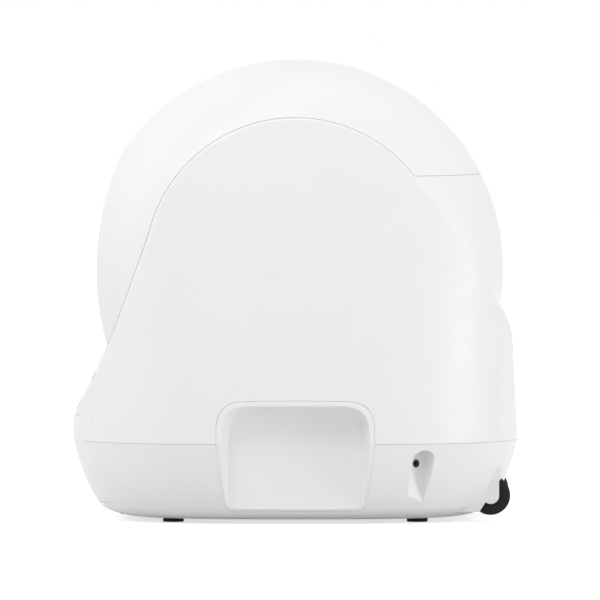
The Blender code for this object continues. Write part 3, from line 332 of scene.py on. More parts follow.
def soft_step(value, low, high):
    share = np.clip((value - low) / (high - low), 0, 1)
    return share * share * (3 - 2 * share)


# Plane curves

def shares(count):
    return np.linspace(0, 1, count)


def arc(centre, radius, start, end, steps):
    angles = np.radians(np.linspace(start, end, steps + 1))
    return np.stack([centre[0] + radius * np.cos(angles), centre[1] + radius * np.sin(angles)], axis=1)


def circle(centre, radius, steps=48):
    return arc(centre, radius, 0, 360 * (steps - 1) / steps, steps - 1)


def bow(start, end, rise, steps):
    """A shallow bow that stands rise to the right of a line."""
    start, end = np.array(start), np.array(end)
    along = end - start
    side = np.array((along[1], -along[0])) / np.hypot(*along)
    share = shares(steps + 1)[:, None]
    return start + along * share + side * (4 * rise * share * (1 - share))


def rounded(before, corner, after, reach, steps=16):
    """A corner eased off over a reach, or rows that ease the corners of many lines at once."""
    corner = np.array(corner)
    sides = [np.array(end) - corner for end in (before, after)]
    start, end = [corner + side * (reach / np.linalg.norm(side, axis=-1))[..., None] for side in sides]
    share = shares(steps + 1).reshape(-1, *[1] * corner.ndim)
    return start * (1 - share) ** 2 + corner * (2 * share * (1 - share)) + end * share**2


def lengths(points):
    """Distance along a line of points, from its start."""
    return np.r_[[0], np.cumsum(np.linalg.norm(np.diff(points, axis=0), axis=1))]


def resampled(points, reach, places):
    """The points of a line at some places along its reach."""
    return np.stack([np.interp(places, reach, points[:, i]) for i in range(points.shape[1])], axis=1)


def spaced(points, step):
    """The same line with points a step apart."""
    reach = lengths(points)
    return resampled(points, reach, np.linspace(0, reach[-1], int(round(reach[-1] / step)) + 1))


def softened(points, reach):
    """A line of evenly spaced points with its corners eased over a reach."""
    step = lengths(points)[-1] / (len(points) - 1)
    count = int(3 * reach / step)
    weights = np.exp(-0.5 * (np.arange(-count, count + 1) * step / reach) ** 2)
    weights /= weights.sum()
    before = points[0] + (points[0] - points[1]) * np.arange(count, 0, -1)[:, None]
    after = points[-1] + (points[-1] - points[-2]) * np.arange(1, count + 1)[:, None]
    padded = np.r_[before, points, after]
    return np.stack([np.convolve(padded[:, i], weights, "valid") for i in range(2)], axis=1)


def outward_normals(points):
    """Normals on the right of an open line of points."""
    along = np.gradient(points, axis=0)
    along /= np.linalg.norm(along, axis=1)[:, None]
    return np.stack([along[:, 1], -along[:, 0]], axis=1)


def side_outline():
    """The covers' outline from the rear foot over the arch to the front foot."""
    arch = arc((0, ARCH_HEIGHT), ARCH_RADIUS, ARCH_REAR_ANGLE, ARCH_FRONT_ANGLE, 80)
    rear = np.array([(REAR_REACH, -SEAM), (REAR_REACH, SEAM)])
    shoulder = rounded(rear[-1], REAR_SHOULDER, REAR_BEND_END, SHOULDER_ROUND)
    back = bow(REAR_BEND_END, arch[0], REAR_BEND_RISE, 30)[:-1]
    flare = bow(FRONT_KNEE, TOE, -FLARE_RISE, 30)
    foot = (TOE[0], -SEAM)
    toe = rounded(flare[-2], TOE, foot, TOE_ROUND)
    points = np.r_[rear, shoulder, back, arch, flare[:-4], toe, [foot]]
    return softened(spaced(points, OUTLINE_STEP), OUTLINE_SOFTNESS)


OUTLINE = side_outline()
HOOD_OUTLINE = OUTLINE + outward_normals(OUTLINE) * HOOD_GAP


def polar(points, centre, angles):
    """A star-shaped line's distance from a centre at some angles."""
    offset = points - centre
    turn = np.unwrap(np.arctan2(offset[:, 1], offset[:, 0]))
    order = np.argsort(turn)
    return np.interp(angles, turn[order], np.hypot(offset[:, 0], offset[:, 1])[order])


def outline_reach(z, sign):
    """How far the outline reaches to the front (-1) or the rear (1) at a height."""
    part = OUTLINE[(OUTLINE[:, 0] * sign > 0) & (OUTLINE[:, 1] < FLANK_TOP)]
    part = part[np.argsort(part[:, 1])]
    return np.interp(z, part[:, 1], np.abs(part[:, 0]))


def grip_section(across, draft, grow, bottom, steps=24):
    """A hand grip's outline at one place across as (along, height) points."""
    spread = grow - draft * (HALF_WIDTH - across)
    half, top = GRIP_HALF_LENGTH + spread, GRIP_TOP + spread
    corners = [(-half, bottom), (half, bottom), (half, top), (-half, top)]
    reaches = (GRIP_FOOT_CORNER, GRIP_FOOT_CORNER, GRIP_CORNER, GRIP_CORNER)
    bends = [rounded(corners[i - 1], corners[i], corners[(i + 1) % 4], reaches[i], steps) for i in range(4)]
    share = shares(2 * steps)[1:-1, None]
    points = []
    for i, bend in enumerate(bends):
        ahead = bends[(i + 1) % 4][0]
        points += [bend, bend[-1] + (ahead - bend[-1]) * share]
    return np.concatenate(points)


def grip_lines(draft, grow, bottom):
    """A grip's drafted wall, as a function of the place across."""
    near, far = 0.2, 0.3
    start, end = grip_section(near, draft, grow, bottom), grip_section(far, draft, grow, bottom)

    def at(across):
        across = np.broadcast_to(across, len(start))
        return np.c_[across, start + (end - start) * ((across - near)[:, None] / (far - near))]

    return at


def grip_rim(line):
    """Where a grip's drafted wall meets the housing's skin."""
    across = HALF_WIDTH
    for _ in range(30):
        points = line(across)
        across = side_x(points[:, 1], points[:, 2])
    return line(across)


# Meshes

def quarter(radius, steps=EDGE_STEPS):
    """A rounded edge as (distance from the edge, depth under the skin), from skin to wall."""
    turn = np.linspace(0, math.pi / 2, steps + 1)
    return [(radius * (1 - math.sin(a)), radius * (1 - math.cos(a))) for a in turn]


def mesh_from(shape):
    """A mesh whose faces all look outwards."""
    bmesh.ops.recalc_face_normals(shape, faces=shape.faces)
    if shape.calc_volume(signed=True) < 0:
        bmesh.ops.reverse_faces(shape, faces=shape.faces)
    mesh = bpy.data.meshes.new("shape")
    shape.to_mesh(mesh)
    shape.free()
    return mesh


def skin(rings, ring_closed=False):
    """A closed mesh through rings of points, capped at its ends or joined round."""
    rings = np.array(rings)
    count, size = rings.shape[:2]
    nodes = np.arange(count * size).reshape(count, size)
    lower, upper = (nodes, np.roll(nodes, -1, 0)) if ring_closed else (nodes[:-1], nodes[1:])
    quads = np.stack([lower, np.roll(lower, -1, 1), np.roll(upper, -1, 1), upper], axis=-1).reshape(-1, 4)
    faces = quads.tolist()
    if not ring_closed:
        faces += [nodes[0][::-1].tolist(), nodes[-1].tolist()]
    mesh = bpy.data.meshes.new("skin")
    mesh.from_pydata(rings.reshape(-1, 3).tolist(), [], faces)
    shape = bmesh.new()
    shape.from_mesh(mesh)
    bmesh.ops.remove_doubles(shape, verts=shape.verts, dist=MERGE)
    bmesh.ops.dissolve_degenerate(shape, dist=MERGE, edges=shape.edges)
    bpy.data.meshes.remove(mesh)
    return mesh_from(shape)


def turned(profile, axis, centre, steps=96, closed=True):
    """A profile of (place along the axis, radius) turned about an axis through a centre."""
    profile = np.array(profile)
    axis = Vector(axis).normalized()
    side = axis.orthogonal().normalized()
    up = axis.cross(side)
    angles = np.linspace(0, 2 * math.pi, steps, endpoint=False)
    round_ = np.cos(angles)[:, None] * np.array(side) + np.sin(angles)[:, None] * np.array(up)
    rings = np.array(centre) + profile[:, 0, None, None] * np.array(axis) + profile[:, 1, None, None] * round_
    return skin(rings, ring_closed=closed)


def soft_profile(corners, reach, steps=5, closed=True):
    """A profile with each corner rounded off by at most a reach."""
    points = []
    count = len(corners)
    for i, corner in enumerate(corners):
        before, after = corners[i - 1], corners[(i + 1) % count]
        if not closed and i in (0, count - 1):
            points.append(np.array([corner]))
            continue
        limit = CORNER_SHARE * min(math.dist(before, corner), math.dist(corner, after))
        points.append(rounded(before, corner, after, min(reach, limit), steps))
    return np.concatenate(points)


def extruded(outline, frame_matrix, low, high, edge=0.0):
    """A counter-clockwise outline pulled along its frame's Z, with rounded ends."""
    outline = np.array(outline)
    closed = np.r_[outline[-1:], outline, outline[:1]]
    normals = outward_normals(closed)[1:-1]
    ends = quarter(edge, 4) if edge else [(0.0, 0.0)]
    rows = [(inset, low + depth) for inset, depth in ends]
    rows += [(inset, high + low - place) for inset, place in rows[::-1]]
    count = len(outline)
    mesh = skin([np.c_[outline - normals * inset, np.full(count, place)] for inset, place in rows])
    mesh.transform(frame_matrix)
    return mesh


def box_mesh(low, high, edge=0.0):
    low, high = Vector(low), Vector(high)
    shape = bmesh.new()
    matrix = Matrix.Translation((low + high) / 2) @ Matrix.Diagonal((*(high - low), 1.0))
    bmesh.ops.create_cube(shape, size=1.0, matrix=matrix)
    if edge:
        bmesh.ops.bevel(shape, geom=shape.edges[:], offset=edge, segments=3, affect="EDGES", profile=0.5)
    return mesh_from(shape)


def placed(name, data):
    obj = bpy.data.objects.new(name, data)
    bpy.context.scene.collection.objects.link(obj)
    return obj


def without(mesh, cutters):
    """A mesh after others that don't overlap are cut from it."""
    joined = bmesh.new()
    for cutter in cutters:
        joined.from_mesh(cutter)
        bpy.data.meshes.remove(cutter)
    tool, work = placed("tool", mesh_from(joined)), placed("work", mesh)
    modifier = work.modifiers.new("cut", "BOOLEAN")
    modifier.operation = "DIFFERENCE"
    modifier.solver = "EXACT"
    modifier.object = tool
    graph = bpy.context.evaluated_depsgraph_get()
    made = bpy.data.meshes.new_from_object(work.evaluated_get(graph))
    for obj in (tool, work):
        data = obj.data
        bpy.data.objects.remove(obj)
        bpy.data.meshes.remove(data)
    return made


# Finishes

def preset(made, inputs):
    """Sets a node's inputs to values, or joins them to the sockets of other nodes."""
    for key, value in inputs.items():
        if isinstance(value, bpy.types.NodeSocket):
            made.id_data.links.new(value, made.inputs[key])
        else:
            made.inputs[key].default_value = value


def node(tree, kind, inputs=None, **values):
    made = tree.nodes.new(kind)
    for key, value in values.items():
        setattr(made, key, value)
    preset(made, inputs or {})
    return made


def new_material(name):
    material = bpy.data.materials.new(name)
    material.use_nodes = True
    return material, material.node_tree, material.node_tree.nodes["Principled BSDF"]


def noise(tree, scale, detail, stretch=(1, 1, 1)):
    place = tree.nodes.get("Place") or node(tree, "ShaderNodeTexCoord", name="Place")
    mapping = node(tree, "ShaderNodeMapping", {"Scale": stretch, "Vector": place.outputs["Object"]})
    inputs = {"Scale": scale, "Detail": detail, "Vector": mapping.outputs["Vector"]}
    return node(tree, "ShaderNodeTexNoise", inputs).outputs["Fac"]


def spread(tree, value, low, high):
    start, end = NOISE_RANGE
    limits = {"Value": value, "From Min": start, "From Max": end, "To Min": low, "To Max": high}
    return node(tree, "ShaderNodeMapRange", limits).outputs["Result"]


def finish(name, colour, roughness, vary=0.02, rough_vary=0.05, grain=900.0, depth=0.00002, metallic=0.0,
           specular=0.5, coat=0.0, stretch=(1, 1, 1), edge=0.0004):
    """A moulded or machined surface: a drifting tone, a patchy polish and a fine grain."""
    material, tree, shader = new_material(name)
    dark, light = [[min(1.0, c * share) for c in colour] for share in (1 - vary, 1 + vary)]
    drift = spread(tree, noise(tree, TONE_SCALE, 4.0), 0, 1)
    shades = {"Factor": drift, "A": (*dark, 1), "B": (*light, 1)}
    tone = node(tree, "ShaderNodeMix", shades, data_type="RGBA").outputs["Result"]
    polish = noise(tree, POLISH_SCALE, 5.0, stretch)
    rough = spread(tree, polish, roughness - rough_vary, roughness + rough_vary)
    height = noise(tree, grain, 2.0, stretch)
    bump = node(tree, "ShaderNodeBump", {"Strength": 1.0, "Distance": depth, "Height": height})
    if edge:
        bevel = node(tree, "ShaderNodeBevel", {"Radius": edge}, samples=4)
        preset(bump, {"Normal": bevel.outputs["Normal"]})
    preset(shader, {"Metallic": metallic, "Specular IOR Level": specular, "Coat Weight": coat})
    preset(shader, {"Base Color": tone, "Roughness": rough, "Normal": bump.outputs["Normal"]})
    return material


FINISHES = {
    "white_plastic": finish("white_satin_plastic", (0.86, 0.86, 0.86), 0.44, vary=0.006, depth=0.000012,
                            edge=0.0),
    "grey_plastic": finish("grey_plastic", (0.45, 0.46, 0.47), 0.50),
    "dark_plastic": finish("dark_plastic", (0.05, 0.05, 0.055), 0.45),
    "gloss_black": finish("gloss_black_plastic", (0.02, 0.02, 0.022), 0.10, rough_vary=0.03,
                          depth=0.000002, coat=0.3, edge=0.0),
    "black_rubber": finish("black_rubber", (0.020, 0.020, 0.021), 0.80, vary=0.08, specular=0.25),
    "wheel_tyre": finish("tyre_rubber", (0.018, 0.018, 0.019), 0.80, vary=0.08, specular=0.2, edge=0.0),
    "grey_liner": finish("grey_silicone", (0.30, 0.31, 0.33), 0.62, vary=0.04, depth=0.00003),
    "gear_plastic": finish("gear_plastic", (0.30, 0.31, 0.33), 0.42),
    "steel": finish("steel", (0.60, 0.60, 0.60), 0.32, metallic=1.0, grain=500.0,
                    stretch=(1, 8, 8), edge=0.0003),
    "cell_aluminium": finish("cell_aluminium", (0.72, 0.72, 0.74), 0.38, metallic=1.0,
                             stretch=(8, 1, 8), edge=0.0003),
    "circuit_board": finish("circuit_board", (0.03, 0.16, 0.07), 0.46, vary=0.10, edge=0.0002),
}


def piece(name, mesh, body, slot, *replaced):
    """A smooth piece that moves with a body and stands for CAD nodes."""
    mesh.name = name
    mesh.materials.clear()
    mesh.materials.append(FINISHES[slot])
    mesh.shade_smooth()
    mesh.set_sharp_from_angle(angle=math.radians(SHARP_ANGLE))
    obj = placed(name, mesh)
    normals = obj.modifiers.new("normals", "WEIGHTED_NORMAL")
    normals.keep_sharp = True
    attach(obj, body)
    if replaced:
        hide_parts(*replaced)


def moulding(name, mesh, *replaced):
    """A white piece of the housing."""
    piece(name, mesh, "housing", "white_plastic", *replaced)


# Side covers

def cover_boundary():
    """The cover's outer edge as (along, height) points, and its rounding at each."""
    foot = (0.0, SEAM + SEAM_GAP / 2)
    z = np.linspace(foot[1], TOP_HEIGHT, 300)
    reach = end_y(COVER_SEAM + SEAM_GAP, z)
    seam = np.r_[np.c_[reach, z], np.c_[-reach, z][::-1]]
    angles = np.linspace(0, math.pi, 6001)
    at_seam, at_outline = polar(seam, foot, angles), polar(OUTLINE, foot, angles)
    radius = np.minimum(at_seam, at_outline)
    points = np.c_[radius * np.cos(angles), foot[1] + radius * np.sin(angles)]
    edge = np.clip(0.5 * (at_seam - at_outline), TINY_EDGE, COVER_EDGE)
    both = spaced(np.c_[points, edge], SKIN_STEP)
    return both[:, :2], both[:, 2]


def make_cover(side, sign):
    foot = np.array((0.0, SEAM + SEAM_GAP / 2))
    rim, edge = cover_boundary()
    normals = outward_normals(rim)
    for i in range(2):
        normals[:, i] = np.convolve(np.pad(normals[:, i], 4, "edge"), np.ones(9) / 9, "valid")
    normals /= np.linalg.norm(normals, axis=1)[:, None]
    normals[0], normals[-1] = (1, 0), (-1, 0)
    rays = rim - foot
    angles = np.arctan2(rays[:, 1], rays[:, 0])
    angles[0], angles[-1] = 0.0, math.pi
    ray = np.c_[np.cos(angles), np.sin(angles)]
    pocket = grip_rim(grip_lines(GRIP_DRAFT, GRIP_GAP, GRIP_BOTTOM - GRIP_GAP))[:, 1:]
    pocket = spaced(np.r_[pocket, pocket[:1]], RIM_STEP)
    pocket = foot + ray * polar(pocket[pocket[:, 1] > SEAM], foot, angles)[:, None]

    def on_skin(flat, depth):
        return np.c_[side_x(flat[:, 0], flat[:, 1]) - depth, flat]

    rows = [on_skin(pocket + ray * far, depth) for far, depth in quarter(TINY_EDGE)[::-1]]
    start, end = pocket + ray * (2 * TINY_EDGE), rim - normals * (1.4 * edge + 2 * TINY_EDGE)[:, None]
    rows += [on_skin(start * (1 - share) + end * share, 0.0) for share in shares(52)]
    rows += [on_skin(rim - normals * (far * edge)[:, None], depth * edge) for far, depth in quarter(1.0)]
    top = rows[-1][:, 0]
    globe = globe_x(np.hypot(rim[:, 0], rim[:, 1] - GLOBE_HEIGHT))
    inner = np.minimum(np.clip(globe, COVER_SEAM + SEAM_GAP / 2, SIDE_OPENING + SEAM_GAP), top - TINY_EDGE)
    rows += [np.c_[top * (1 - share) + inner * share, rim] for share in shares(6)[1:]]
    back = rim - normals * WALL
    rows.append(np.c_[inner, back])
    for share in shares(14):
        flat = back * (1 - share) + pocket * share
        rows.append(np.c_[np.maximum(side_x(flat[:, 0], flat[:, 1]) - WALL, inner + TINY_EDGE), flat])
    rings = np.stack(rows, axis=1)
    rings[..., 0] *= sign
    moulding(f"cover_{side}", skin(rings), f"side_cover_{side}")


# Globe: hood, entrance trim and rear shell

ACROSS = np.linspace(-HOOD_HALF_WIDTH, HOOD_HALF_WIDTH, 2001)
ACROSS_LENGTH = lengths(np.c_[ACROSS, globe_radius(ACROSS)])
ACROSS_LENGTH -= ACROSS_LENGTH[-1] / 2


def on_globe(across, turn, depth):
    """A point under the globe's skin, from its place across and its turn up from the front."""
    x = np.interp(across, ACROSS_LENGTH, ACROSS)
    slope = globe_slope(x)
    length = np.sqrt(1 + slope**2)
    out = globe_radius(x) - depth / length
    x = x + depth * slope / length
    return np.stack([x, -out * np.cos(turn), GLOBE_HEIGHT + out * np.sin(turn)], axis=-1)


def across_at(x):
    return np.interp(x, ACROSS, ACROSS_LENGTH)


def outline_turn_radius(turn):
    """How far the covers' gap lies from the globe's line at a turn."""
    return polar(HOOD_OUTLINE, (0, GLOBE_HEIGHT), math.pi - turn)


def radius_under(x, depth):
    """The globe's radius at a depth under its skin."""
    return globe_radius(x) - depth / np.sqrt(1 + globe_slope(x) ** 2)


def face_edge(face_radius, depth=0.0):
    """The edge of a round face on the globe as (across, turn), from the right foot to the left one."""
    half = ACROSS[ACROSS >= 0]
    widest = np.interp(FACE_OFFSET - face_radius, -radius_under(half, depth), half)
    swing = np.linspace(0, math.pi, 3001)
    x = widest * np.sin(swing)
    radius = radius_under(x, depth)
    foremost = (radius**2 + FACE_OFFSET**2 - face_radius**2) / (2 * FACE_OFFSET)
    turn = np.arccos(np.clip(-foremost / radius, -1, 1)) * np.where(swing <= math.pi / 2, 1, -1)
    clear = radius > outline_turn_radius(turn)
    last = len(clear) if clear.all() else int(np.argmin(clear))
    right = np.c_[across_at(x), turn][:last]
    return np.r_[right[::-1], right[1:] * (-1, 1)]


def globe_lengths(line):
    return lengths(on_globe(line[:, 0], line[:, 1], 0.0))


def by_length(line, count, start=0.0, end=1.0):
    """Evenly spaced points over a share of a line on the globe."""
    reach = globe_lengths(line)
    return resampled(line, reach, np.linspace(start, end, count) * reach[-1])


def globe_shell(inner, inner_back, outer, depth, wall, edge, rows_out=64, rows_in=10):
    """A wall on the globe from a cut face, with its two edges, to an outer edge square to the skin."""
    share = shares(161)
    rings = []
    for first, first_back, last in zip(inner, inner_back, outer):
        line = first + (last - first) * share[:, None]
        reach = globe_lengths(line)
        total = reach[-1]
        round_ = min(edge, 0.3 * total)
        places = [(p, 0.0) for p in np.linspace(0.3 * round_, total - round_, rows_out)[:-1]]
        places += [(total - far, down) for far, down in quarter(round_)]
        places += [(total, wall - round_ / 2), (total - round_ / 2, wall)]
        places = np.array(places)
        skin_part = np.c_[resampled(line, reach, places[:, 0]), places[:, 1]]
        back_start = skin_part[-1]
        back_end = np.array((*first_back, wall))
        back_part = back_start + (back_end - back_start) * shares(rows_in)[1:, None]
        face_end = np.array((*first, 0.0))
        face_part = back_end + (face_end - back_end) * np.linspace(0.06, 0.97, 8)[:, None]
        at = np.r_[skin_part, back_part, face_part]
        rings.append(on_globe(at[:, 0], at[:, 1], depth + at[:, 2]))
    return skin(rings)


def make_hood():
    face = face_edge(FACE_RADIUS)
    turn = np.linspace(face[0, 1], math.pi, 4000)
    x = np.minimum(globe_x(outline_turn_radius(turn)), HOOD_HALF_WIDTH)
    above = (turn < math.pi / 2) | (GLOBE_HEIGHT + globe_radius(x) * np.sin(turn) > HOOD_SEAM)
    flank = np.c_[across_at(x), turn][above]
    flank[0] = face[0]
    seam_x = np.linspace(np.interp(flank[-1, 0], ACROSS_LENGTH, ACROSS), 0, 400)
    seam_turn = math.pi - np.arcsin((HOOD_SEAM - GLOBE_HEIGHT) / globe_radius(seam_x))
    seam = np.c_[across_at(seam_x), seam_turn]

    def half_rim(edge):
        rim = edge[:len(edge) // 2 + 1]
        upper = by_length(rim, 81, FLANK_SHARE, 1.0)[1:]
        return np.r_[by_length(rim, 170, FOOT_TRIM, FLANK_SHARE), upper]

    def both_halves(line):
        return np.r_[line, line[-2::-1] * (-1, 1)]

    faces = (face, face_edge(FACE_RADIUS, GLOBE_WALL))
    inner, inner_back = [both_halves(half_rim(edge)) for edge in faces]
    outer = both_halves(np.r_[by_length(flank, 170, FOOT_TRIM, 1.0), by_length(seam, 81)[1:]])
    mesh = globe_shell(inner, inner_back, outer, 0.0, GLOBE_WALL, HOOD_EDGE)
    piece("hood_shell", mesh, "hood", "white_plastic", "hood")

    top = GLOBE_WALL + FIT
    face_radius = FACE_RADIUS - TRIM_INSET
    places = ((face_radius, top), (face_radius, top + TRIM_WALL), (face_radius - TRIM_DEPTH, top))
    edges = [by_length(face_edge(*place), 260) for place in places]
    mesh = globe_shell(*edges, top, TRIM_WALL, SMALL_EDGE, 12, 6)
    piece("entrance_ring", mesh, "hood", "grey_plastic", "entrance_trim")


def make_rear_shell():
    sides = np.linspace(-3 * NOTCH_SIDE_ROUND, 3 * NOTCH_SIDE_ROUND, 13)
    columns = [np.linspace(-HOOD_HALF_WIDTH, HOOD_HALF_WIDTH, 160)]
    columns += [sides - NOTCH_HALF_WIDTH, sides + NOTCH_HALF_WIDTH]
    notch_foot = HOOD_SEAM - NOTCH_HEIGHT
    heights = np.concatenate([
        np.linspace(HOOD_SEAM - HOOD_GAP, notch_foot + NOTCH_BAND, 24),
        np.linspace(notch_foot + NOTCH_BAND, notch_foot - NOTCH_BAND, 12)[1:],
        np.linspace(notch_foot - NOTCH_BAND, REAR_SHELL_BOTTOM, 60)[1:],
    ])
    rings = []
    for x in np.unique(np.concatenate(columns)):
        notch = soft_step(NOTCH_HALF_WIDTH - abs(x), -NOTCH_SIDE_ROUND, NOTCH_SIDE_ROUND)
        turn = math.pi - np.arcsin((heights - GLOBE_HEIGHT) / globe_radius(x))
        depth = NOTCH_DEPTH * notch * soft_step(heights - notch_foot, -NOTCH_FOOT_ROUND, NOTCH_FOOT_ROUND)
        across = np.full_like(turn, across_at(x))
        rings.append(np.r_[on_globe(across, turn, depth), on_globe(across, turn, GLOBE_WALL)[::-8]])
    moulding("rear_globe", skin(rings), "rear_shell")


# Front and rear panels

def end_reach(x, z, sign):
    """The housing's reach to the front or the rear."""
    return soft_min(end_y(x, z), outline_reach(z, sign) - taper(z), END_SOFTNESS)


def upright(x, y, z):
    """Points one above the other, at a place across."""
    return np.c_[np.full(len(z), x), np.broadcast_to(y, len(z)), z]


def end_panel(sign):
    """A panel between the covers, from the seam up to the globe."""
    half, low = COVER_SEAM - SEAM_GAP / 2, SEAM + SEAM_GAP / 2
    z = np.linspace(low, END_PANEL_LIMIT, 2000)
    share = shares(90)
    far, depth = np.array(quarter(SMALL_EDGE, 4)).T
    depths = np.r_[np.zeros(len(share)), depth]
    rings = []
    for x in np.linspace(-half, half, 150):
        apart = np.hypot(end_reach(x, z, sign), z - GLOBE_HEIGHT) - (globe_radius(x) + SEAM_GAP)
        top = z[np.argmax(apart < 0)]
        outer = np.r_[low + (top - 2 * SMALL_EDGE - low) * share, top - far]
        inner = np.linspace(top, low, 24)
        y = np.r_[end_reach(x, outer, sign) - depths, end_reach(x, inner, sign) - WALL]
        rings.append(upright(x, y * sign, np.r_[outer, inner]))
    return skin(rings)


def flare_frame():
    """The control panel's place on the front flare: X across, Y up the slope and Z out of it."""
    flare = bow(FRONT_KNEE, TOE, -FLARE_RISE, 50)
    share = (PANEL_HEIGHT - FRONT_KNEE[1]) / (TOE[1] - FRONT_KNEE[1])
    middle = round(share * 50)
    start, end = Vector(flare[middle - 1]), Vector(flare[middle + 1])
    up = (start - end).normalized()
    place = (start + end) / 2
    across, slope = Vector((1, 0, 0)), Vector((0, up.x, up.y))
    turn = Matrix((across, slope, across.cross(slope))).transposed().to_4x4()
    return Matrix.Translation((0, place.x, place.y)) @ turn


FLARE = flare_frame()


def panel_outline(grow):
    half = (PANEL_HALF_WIDTH + grow, PANEL_HALF_LENGTH + grow)
    corners = [(-half[0], -half[1]), (half[0], -half[1]), half, (-half[0], half[1])]
    return soft_profile(corners, PANEL_CORNER + grow, 8)


def button_holes():
    circles = [circle((sign * BUTTON_ACROSS, 0), BUTTON_RADIUS + FIT) for _, sign in SIDES]
    return [extruded(outline, FLARE, -PAST_SKIN, PAST_SKIN) for outline in circles]


def make_front():
    mesh = end_panel(-1)
    opening = DRAWER_HALF_WIDTH + DRAWER_GAP
    mesh = without(mesh, [box_mesh((-opening, -FAR, 0), (opening, 0, DRAWER_TOP + DRAWER_GAP))])
    pull = box_mesh((-PULL_HALF_WIDTH, -FAR, PULL_FOOT), (PULL_HALF_WIDTH, 0, DRAWER_TOP + PULL_HEIGHT))
    seat = extruded(panel_outline(FIT), FLARE, -PANEL_WALL - FIT, PAST_SKIN)
    mesh = without(mesh, [pull, seat])
    moulding("front_moulding", without(mesh, button_holes()), "front_panel")

    plate = extruded(panel_outline(0.0), FLARE, -PANEL_WALL, 0.0, PANEL_EDGE)
    piece("control_plate", without(plate, button_holes()), "housing", "gloss_black", "control_panel")
    axis = FLARE.to_3x3() @ Vector((0, 0, 1))
    back, dish_radius = BUTTON_PROUD - BUTTON_LENGTH, BUTTON_RADIUS * BUTTON_DISH_SHARE
    outward = np.linspace(0.02, 1, 8)
    dish = [(BUTTON_PROUD - BUTTON_DISH + BUTTON_DISH * s * s, dish_radius * s) for s in outward]
    rim = [(BUTTON_PROUD, dish_radius), (BUTTON_PROUD, BUTTON_RADIUS), (back, BUTTON_RADIUS)]
    rim = soft_profile(rim, BUTTON_EDGE, 5, closed=False)
    profile = np.r_[dish, rim[1:], [(back, BUTTON_CORE)]]
    for name, sign in (("power_button", -1), ("cycle_button", 1)):
        base = FLARE @ Vector((sign * BUTTON_ACROSS, 0, 0))
        mesh = turned(profile, axis, base, 64, closed=False)
        piece(f"{name}_cap", mesh, name, "grey_plastic", name)


def make_drawer_front():
    ends = quarter(DRAWER_EDGE, 5)

    def places(low, high, count):
        """Places from one rounded edge to the other, with how deep the edge lies at each."""
        flat = np.linspace(low + 2 * DRAWER_EDGE, high - 2 * DRAWER_EDGE, count)
        start = [(low + far, depth) for far, depth in ends[::-1]]
        return start + [(place, 0.0) for place in flat] + [(high - far, depth) for far, depth in ends]

    half = DRAWER_HALF_WIDTH
    z, down = np.array(places(DRAWER_BOTTOM, DRAWER_TOP, 60)).T
    back = np.linspace(DRAWER_TOP, DRAWER_BOTTOM, 12)
    rings = []
    for x, depth in places(-half, half, 100):
        y = -(end_reach(x, z, -1) - np.maximum(down, depth) - DRAWER_SINK)
        rings.append(np.r_[upright(x, y, z), upright(x, DRAWER_BACK, back)])
    mesh = skin(rings)
    z = np.linspace(DRAWER_BOTTOM + WALL, DRAWER_OPEN_TOP, 30)
    rings = []
    for x in np.linspace(-half + WALL, half - WALL, 40):
        y = -(end_reach(x, z, -1) - WALL)
        rings.append(np.r_[upright(x, y, z), upright(x, DRAWER_BACK - WALL, z[::-1])])
    piece("drawer_face", without(mesh, [skin(rings)]), "drawer", "white_plastic", "drawer_front")


# Base tray with its scoop, pockets and wheel wells

def ramp_x(y):
    return RAMP_LIP - (y - RAMP_START) * RAMP_SLOPE


JACK_AXIS = Vector((1, RAMP_SLOPE, 0)).normalized()
JACK_PLACE = Vector((ramp_x(JACK_ALONG), JACK_ALONG, JACK_HEIGHT))


def scoop_form():
    """The scoop's space: a ramp, a wall behind its deep line, and a rounded crown."""
    rise = SCOOP_TOP - SCOOP_CROWN
    crown = SCOOP_CROWN + rise * np.sin(np.linspace(0, 0.495 * math.pi, 28))
    rings = []
    for z in np.r_[np.linspace(0, SCOOP_CROWN, 24)[:-1], crown]:
        share = math.sqrt(1 - max((z - SCOOP_CROWN) / rise, 0) ** 2)
        front = SCOOP_FRONT - SCOOP_FRONT_LEAN * max(SCOOP_CROWN - z, 0)
        low, high = [SCOOP_PEAK + (end - SCOOP_PEAK) * share for end in (front, SCOOP_REAR)]
        y = np.linspace(low, high, 60)
        behind = ramp_x(SCOOP_DEEP) + (y - SCOOP_DEEP) / SCOOP_REAR_SLOPE
        face = -soft_min(-ramp_x(y), -behind, SCOOP_BEND)
        plan = np.r_[[(FAR, low)], np.c_[face, y], [(FAR, high)]]
        rings.append(np.c_[plan, np.full(len(plan), z)])
    return skin(rings)


def plan_columns():
    """Turns round the plan, evenly spaced along it."""
    turn = np.linspace(0, 2 * math.pi, 20001)
    reach = lengths(plan_ring(turn, SEAM))
    count = int(reach[-1] / SKIN_STEP)
    return np.interp(np.arange(count) * reach[-1] / count, reach, turn)


def plan_ring(turn, z, inset=0.0):
    x = (half_width(z) - inset) * np.copysign(np.abs(np.cos(turn)) ** (2 / PLAN_POWER), np.cos(turn))
    y = (half_depth(z) - inset) * np.abs(np.sin(turn)) ** (2 / PLAN_POWER)
    y = np.copysign(soft_min(y, REAR_REACH - taper(z) - inset, END_SOFTNESS), np.sin(turn))
    return np.c_[x, y, np.full(len(turn), z)]


def well(sign, grow):
    """A wheel's space, open below and behind."""
    radius = WHEEL_RADIUS + WELL_GAP + grow
    top = arc((WHEEL_MIDDLE.y, WHEEL_MIDDLE.z), radius, 60, 225, 48)
    behind = WHEEL_MIDDLE.y + WELL_REACH
    foot = [(top[-1, 0], -WELL_REACH), (behind, -WELL_REACH)]
    outline = np.r_[[(behind, top[0, 1])], top, foot]
    middle, half = sign * WHEEL_MIDDLE.x, WHEEL_HALF_WIDTH + WELL_GAP + grow
    return extruded(outline, ALONG_X, middle - half, middle + half)


